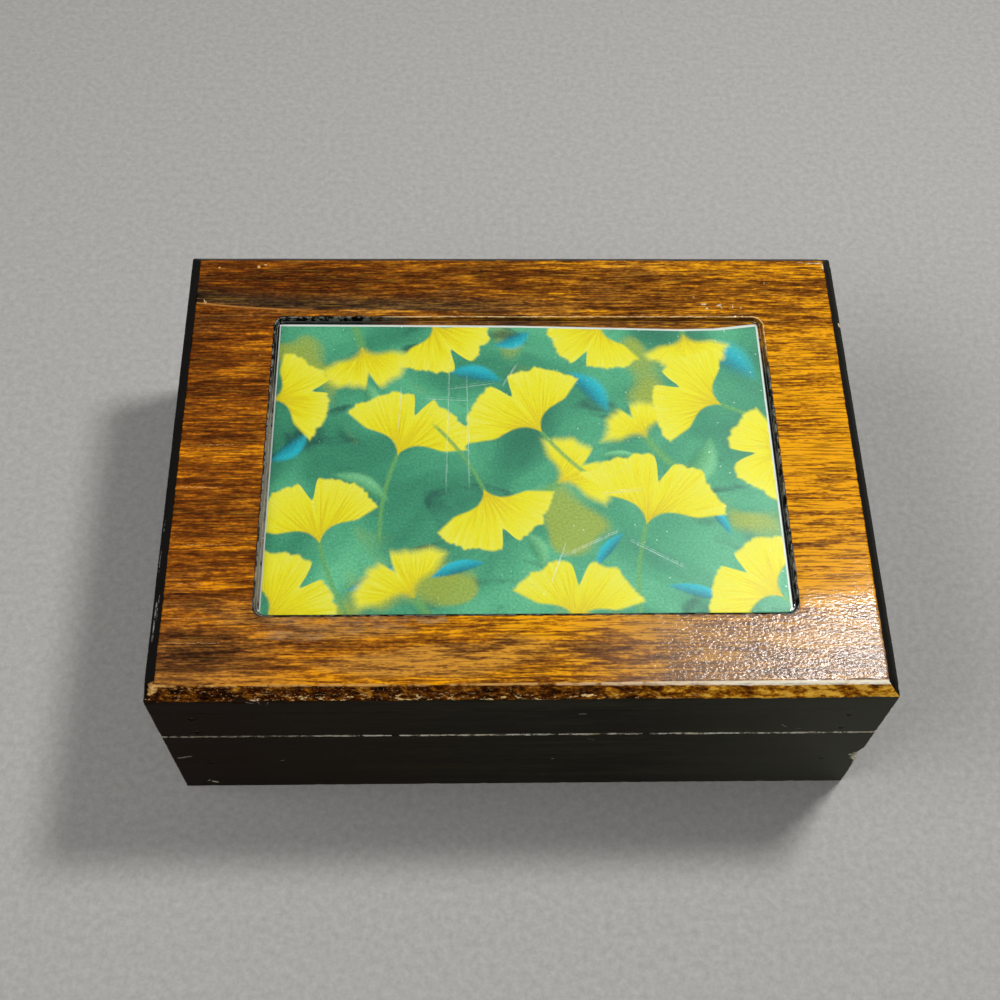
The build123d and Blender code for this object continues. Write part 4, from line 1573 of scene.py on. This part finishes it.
# %% Draw the ground and the leaves
def blurred_ground(tree, flat):
    """Green and teal patches, as leaves far behind the focus look."""
    patches = cloudy(tree, stretched(tree, flat, (26, 26, 26), (3, 1, 0)), 3, 0.5, 0.8)
    ground = ramp(tree, patches, (
        (0.30, (0.022, 0.180, 0.102)), (0.45, (0.048, 0.290, 0.160)),
        (0.58, (0.088, 0.420, 0.228)), (0.72, (0.150, 0.570, 0.300)),
    ))
    far = cloudy(tree, stretched(tree, flat, (38, 38, 38), (8, 4, 0)), 1, 0.5, 0.5)
    ground = blend(tree, times(tree, between(tree, far, 0.60, 0.70), 0.8), ground, (0.42, 0.47, 0.04))
    dark = cloudy(tree, stretched(tree, flat, (34, 60, 34), (1, 9, 0)), 3, 0.5, 1.2)
    return blend(tree, times(tree, between(tree, dark, 0.58, 0.70), 0.7), ground, (0.008, 0.060, 0.055))


def with_leaves(tree, flat, colour, low, high):
    """Lays those leaves that reach into the strip from low to high, in mm, over a colour."""
    for index, (at_x, at_y, turn, half_length, half_wide, blur) in enumerate(slim_leaves):
        if not low - half_length < at_x < high + half_length:
            continue
        leaf = use_group(tree, slim_leaf_group, {
            "Place": flat, "Middle": (at_x * mm, at_y * mm, 0), "Turn": turn,
            "Half Size": (half_length * mm, half_wide * mm, 1), "Blur": blur,
        })
        dim, lit = slim_teal if index % 3 else slim_green
        colour = blend(tree, leaf["Leaf"], colour, blend(tree, leaf["Side"], dim, lit))
    for foot_x, foot_y, turn, size, blur in leaves:
        if not touches(low, high, foot_x, turn, size):
            continue
        leaf = use_group(tree, fan_leaf_group, {
            "Place": flat, "Foot": (foot_x * mm, foot_y * mm, 0),
            "Turn": turn, "Size": size * mm, "Blur": blur,
        })
        colour = blend(tree, times(tree, leaf["Stalk"], 0.8), colour, (0.16, 0.42, 0.12))
        tone = weigh(tree, -0.10, (leaf["Rib"], 0.85), (leaf["Out"], 0.42))
        yellow = ramp(tree, tone, (
            (0.12, (0.38, 0.38, 0.006)), (0.34, (0.86, 0.62, 0.003)),
            (0.58, (0.98, 0.86, 0.005)), (0.90, (0.99, 0.93, 0.12)),
        ))
        colour = blend(tree, leaf["Leaf"], colour, yellow)
    return colour


print("Ground and leaves ready")

# %% [markdown]
# The print's white border is uneven because it was trimmed by hand. The mesh already has that outline, and
# the border follows it: a curve node repeats the trimmed back edge, so the white stays as wide as it should
# be everywhere. A second mesh for the border could do it too, but would leave a seam in the print.

# %% Draw the scratches' light, the border and the whole print
def scratch_light(tree, flat, low, high):
    """Each scratch in the cover catches light, which shows as a faint pale line over the print."""
    near = [line for line in cover_scratches if low - 12 < line[0][0] < high + 12]
    return some_scratches(tree, flat, [{
        "Middle": ((at_x - shift_x) * mm, (at_y - shift_y) * mm, 0),
        "Direction": tuple(Vector(direction).normalized()),
        "Half Length": half_length * mm, "Half Width": 0.30 * mm,
    } for (at_x, at_y, _), direction, half_length in near])


def white_border(tree, x, y):
    """A mask for the white border of uneven width."""
    half_x, half_y = (print_high.x - print_low.x) / 2, (print_high.y - print_low.y) / 2
    # A curve says how deep the back edge is trimmed at each x, as a share of deepest_trim.
    trimmed = node(tree, "FloatCurve", {"Value": between(tree, x, -half_x, half_x, False)})
    curve = trimmed.mapping.curves[0]
    span = trim_places[-1] - trim_places[0]
    while len(curve.points) < len(trim_places):
        curve.points.new(0.5, 0.5)
    for point, along, cut in zip(curve.points, trim_places, trim_depths):
        point.location = ((along - trim_places[0]) / span, cut / deepest_trim)
        point.handle_type = "VECTOR"
    trimmed.mapping.update()
    from_back = minus(tree, half_y, weigh(tree, y, (trimmed.outputs[0], deepest_trim)))
    rooms = {
        "left": plus(tree, x, half_x), "right": minus(tree, half_x, x),
        "front": plus(tree, y, half_y), "back": from_back,
    }
    return most(tree, *[
        between(tree, rooms[side], width, width - 0.12 * mm) for side, width in borders.items()
    ])


def printed_design(name, low, high):
    """The print's material, with only those leaves that reach into the strip from low to high, in mm."""
    material, tree, shader, place = new_material(name)
    sheet = vectors(tree, "SUBTRACT", place, tuple(print_centre))
    x, y, _ = node(tree, "SeparateXYZ", {0: sheet}).outputs
    flat = node(tree, "CombineXYZ", {"X": x, "Y": y}).outputs[0]
    colour = with_leaves(tree, flat, blurred_ground(tree, flat), low, high)
    # Painted highlight: the light that the cover's scratches catch, drawn as faint pale lines into the print.
    painted_light_streaks = scratch_light(tree, flat, low, high)
    colour = blend(tree, times(tree, painted_light_streaks, 0.22), colour, (0.66, 0.84, 0.78))
    dots = cloudy(tree, stretched(tree, flat, (1400, 1400, 1400)), 2, 0.6)
    dots = ramp(tree, dots, ((0.25, (0.0, 0.0, 0.0)), (0.75, (1.0, 1.0, 1.0))))
    colour = blend(tree, 0.45, colour, dots, "SOFT_LIGHT")
    colour = blend(tree, white_border(tree, x, y), colour, (0.80, 0.82, 0.78))
    slight = cloudy(tree, stretched(tree, flat, (90, 90, 90)), 2, 0.5)
    feed(tree, shader, {
        "Base Color": colour, "Roughness": 0.35, "Specular IOR Level": 0.3,
        "Normal": bumpy(tree, slight, 0.3 * mm, 0.4),
    })
    return material


strip_edges = (-80, -38, 0, 38, 80)
print_sheet.data.materials.clear()
for number, (low, high) in enumerate(zip(strip_edges, strip_edges[1:])):
    strip = printed_design(f"printed leaves {number + 1}", low, high)
    print_sheet.data.materials.append(strip)
    print(" ", strip.name, len(strip.node_tree.nodes), "nodes")
for polygon in print_sheet.data.polygons:
    from_left = (polygon.center.x - print_centre.x) / mm
    polygon.material_index = sum(from_left > edge for edge in strip_edges[1:-1])

# %% [markdown]
# ## The clear cover
#
# Acrylic is glass to a renderer: a Principled shader with full transmission. Cycles lets no lamp shine
# straight through such a shader, so the print would lie in shade. A Mix Shader gives rays from lamps a
# Transparent shader instead. Light that bounces off the print gets the same, or the lamps would count
# twice. Age shows as fine scratches and dust, which are bump and roughness here.

# %% Make the acrylic
def clear_acrylic():
    """Clear acrylic with scratches and dust, which lamps shine through."""
    material, tree, shader, place = new_material("clear acrylic")
    flat = vectors(tree, "MULTIPLY", place, (1, 1, 0))
    scratched = some_scratches(tree, flat, [{
        "Middle": tuple(v * mm for v in middle), "Direction": tuple(Vector(direction).normalized()),
        "Half Length": half_length * mm, "Half Width": 0.20 * mm,
    } for middle, direction, half_length in cover_scratches])
    dust = some_specks(tree, place, 330, 0.10, 0.30)
    wavy = cloudy(tree, stretched(tree, place, (45, 45, 45)), 2, 0.5)
    height = weigh(tree, 0.0, (wavy, 0.5), (scratched, -0.25), (dust, 0.3))
    feed(tree, shader, {
        "Base Color": (0.97, 0.99, 0.98, 1), "Transmission Weight": 1.0, "IOR": 1.49,
        "Roughness": weigh(tree, 0.03, (scratched, 0.45), (dust, 0.5)),
        "Normal": bumpy(tree, height, 0.08 * mm, 0.5),
    })
    clear = node(tree, "BsdfTransparent", {"Color": (0.93, 0.95, 0.94, 1)})
    ray = node(tree, "LightPath").outputs
    bounced = node(tree, "MixShader", {0: ray["Is Diffuse Ray"], 1: shader.outputs[0], 2: clear.outputs[0]})
    mix = node(tree, "MixShader", {0: ray["Is Shadow Ray"], 1: bounced.outputs[0], 2: clear.outputs[0]})
    tree.links.new(mix.outputs[0], tree.nodes["Material Output"].inputs["Surface"])
    return material


dress(cover_sheet, clear_acrylic())
print("Cover scratches:", len(cover_scratches))

# %% [markdown]
# ## Felt and plywood
#
# Felt is a mat of short fibres that scatters light at grazing angles. Hair particles could stand for them,
# but the nap is far finer than a pixel, so fine noise as bump and the shader's sheen do it. The bottom is
# plain plywood. Its grain comes from the board's own group, with other colours and some stains.

# %% Make the felt and the plywood
def felt():
    """Dark green felt with a fine nap and some lint."""
    material, tree, shader, place = new_material("dark green felt")
    fuzz = cloudy(tree, stretched(tree, place, (1500, 1500, 1500)), 4, 0.75, 1.2)
    matted = cloudy(tree, stretched(tree, place, (120, 120, 120)), 3, 0.6)
    tone = weigh(tree, -0.4, (fuzz, 1.2), (matted, 0.6))
    colour = ramp(tree, tone, (
        (0.1, (0.006, 0.030, 0.020)), (0.5, (0.014, 0.070, 0.046)), (0.9, (0.040, 0.130, 0.090)),
    ))
    lint = some_specks(tree, place, 240, 0.10, 0.12)
    feed(tree, shader, {
        "Base Color": blend(tree, lint, colour, (0.30, 0.34, 0.30)), "Roughness": 0.95,
        "Specular IOR Level": 0.2, "Sheen Weight": 0.35, "Sheen Roughness": 0.45,
        "Normal": bumpy(tree, fuzz, 0.25 * mm, 0.9),
    })
    return material


def plywood():
    """Plain plywood with a few stains."""
    material, tree, shader, place = new_material("plain plywood")
    grain = use_group(tree, grain_group, {"Along": place, "Ring Width": 0.014, "Seed": (0.9, 0.5, 0.1)})
    tone = weigh(
        tree, -0.55, (grain["Streak"], 0.9), (grain["Fibre"], 0.5), (grain["Ring"], 0.22),
        (grain["Blotch"], 0.5),
    )
    colour = ramp(tree, tone, (
        (0.1, (0.20, 0.10, 0.04)), (0.5, (0.36, 0.22, 0.11)), (0.9, (0.52, 0.36, 0.20)),
    ))
    stain = cloudy(tree, stretched(tree, place, (30, 30, 30)), 3, 0.6)
    colour = blend(tree, times(tree, between(tree, stain, 0.5, 0.7), 0.5), colour, (0.09, 0.05, 0.025))
    height = weigh(tree, 0.0, (grain["Fibre"], 1.0), (grain["Pore"], -0.6))
    feed(tree, shader, {
        "Base Color": colour, "Roughness": weigh(tree, 0.55, (grain["Streak"], 0.25)),
        "Normal": bumpy(tree, height, 0.08 * mm, 0.7),
    })
    return material


for pad in felts:
    dress(pad, felt())
dress(nodes["base_bottom_panel"], plywood())
print("Dressed the linings and the bottom")

# %% [markdown]
# ## Brass and nails
#
# The hinges and screws are stock brass gone dull, and the nail heads took the black stain. One flat colour
# would look like paint. Brass tarnishes in clouds, and where it does it is darker and rougher, so one noise
# drives both. A second noise, stretched thin, gives the fine lines of brushing.

# %% Make the brass and the nails
def dull_brass(name, shine):
    """Brushed brass, rougher and darker where it is tarnished. shine is its least roughness."""
    material, tree, shader, place = new_material(name)
    cloud = cloudy(tree, stretched(tree, place, (260, 260, 260)), 4, 0.65)
    brushed = cloudy(tree, stretched(tree, place, (160, 3200, 3200)), 2, 0.5)
    colour = ramp(tree, cloud, (
        (0.30, (0.30, 0.17, 0.055)), (0.50, (0.66, 0.43, 0.15)), (0.72, (0.84, 0.62, 0.28)),
    ))
    tarnish = between(tree, cloud, 0.55, 0.35)
    feed(tree, shader, {
        "Base Color": colour, "Metallic": 1.0,
        "Roughness": weigh(tree, shine, (brushed, 0.14), (tarnish, 0.18)),
        "Normal": bumpy(tree, brushed, 0.02 * mm, 0.5),
    })
    return material


def nail_steel():
    """Steel under the black stain."""
    material, tree, shader, place = new_material("stained nail steel")
    cloud = cloudy(tree, stretched(tree, place, (1500, 1500, 1500)), 3, 0.6)
    colour = ramp(tree, cloud, ((0.35, (0.018, 0.015, 0.010)), (0.65, (0.070, 0.058, 0.042))))
    feed(tree, shader, {
        "Base Color": colour, "Roughness": weigh(tree, 0.35, (cloud, 0.3)), "Metallic": 0.3,
    })
    return material


leaf_brass = dull_brass("hinge brass", 0.26)
screw_brass = dull_brass("screw brass", 0.20)
nail_metal = nail_steel()
for name, piece in nodes.items():
    if "brads" in name:
        dress(piece, nail_metal)
    elif "screws" in name:
        dress(piece, screw_brass)
    elif "hinge" in name:
        dress(piece, leaf_brass)
print("Dressed", sum("hinge" in name for name in nodes), "hinge pieces")

# %% [markdown]
# ## Floor and light
#
# The object stands on a plain pale floor. A lamp high on the right and a little behind throws the soft
# shadow to the left and shows as a broken glint in the varnish near the front right corner. A large dim
# panel and an even sky fill the shadows, so a colour renders about as it is written.

# %% Make the floor, the lamps and the sky
floor_reach = 3.0
lit_place = (0, 0, 0.04)
key_place, key_size, key_power = (0.340, 0.185, 0.80), 0.14, 4.6
fill_place, fill_width, fill_height, fill_power = (-0.85, -0.30, 0.95), 0.9, 0.7, 7.5
sky_strength = 0.10


def plain_floor():
    """A pale floor that reaches well past the frame."""
    ends = (-floor_reach, -floor_reach), (floor_reach, -floor_reach)
    corners = [(x, y, 0) for x, y in ends] + [(-x, -y, 0) for x, y in ends]
    ground = new_piece("floor", corners, [(0, 1, 2, 3)], smooth=False)
    material, tree, shader, place = new_material("pale floor")
    specks = cloudy(tree, stretched(tree, place, (420, 420, 420)), 4, 0.75)
    pale = ramp(tree, specks, ((0.3, (0.40, 0.39, 0.37)), (0.7, (0.52, 0.51, 0.49))))
    feed(tree, shader, {"Base Color": pale, "Roughness": 0.9, "Specular IOR Level": 0.2})
    dress(ground, material)


def panel(name, place, target, width, height, power):
    """A rectangular lamp that faces its target."""
    lamp = bpy.data.lights.new(name, "AREA")
    lamp.shape = "RECTANGLE"
    lamp.size, lamp.size_y, lamp.energy = width, height, power
    holder = bpy.data.objects.new(name, lamp)
    holder.location = place
    holder.rotation_euler = (Vector(target) - Vector(place)).to_track_quat("-Z", "Y").to_euler()
    bpy.context.scene.collection.objects.link(holder)


plain_floor()
panel("key lamp", key_place, lit_place, key_size, key_size, key_power)
panel("fill panel", fill_place, lit_place, fill_width, fill_height, fill_power)

sky = bpy.data.worlds.new("even sky")
sky.use_nodes = True
feed(sky.node_tree, sky.node_tree.nodes["Background"], {"Color": (1, 1, 1, 1), "Strength": sky_strength})
bpy.context.scene.world = sky
bpy.context.scene.view_settings.view_transform = "Standard"
print("Lit by two panels and the sky")
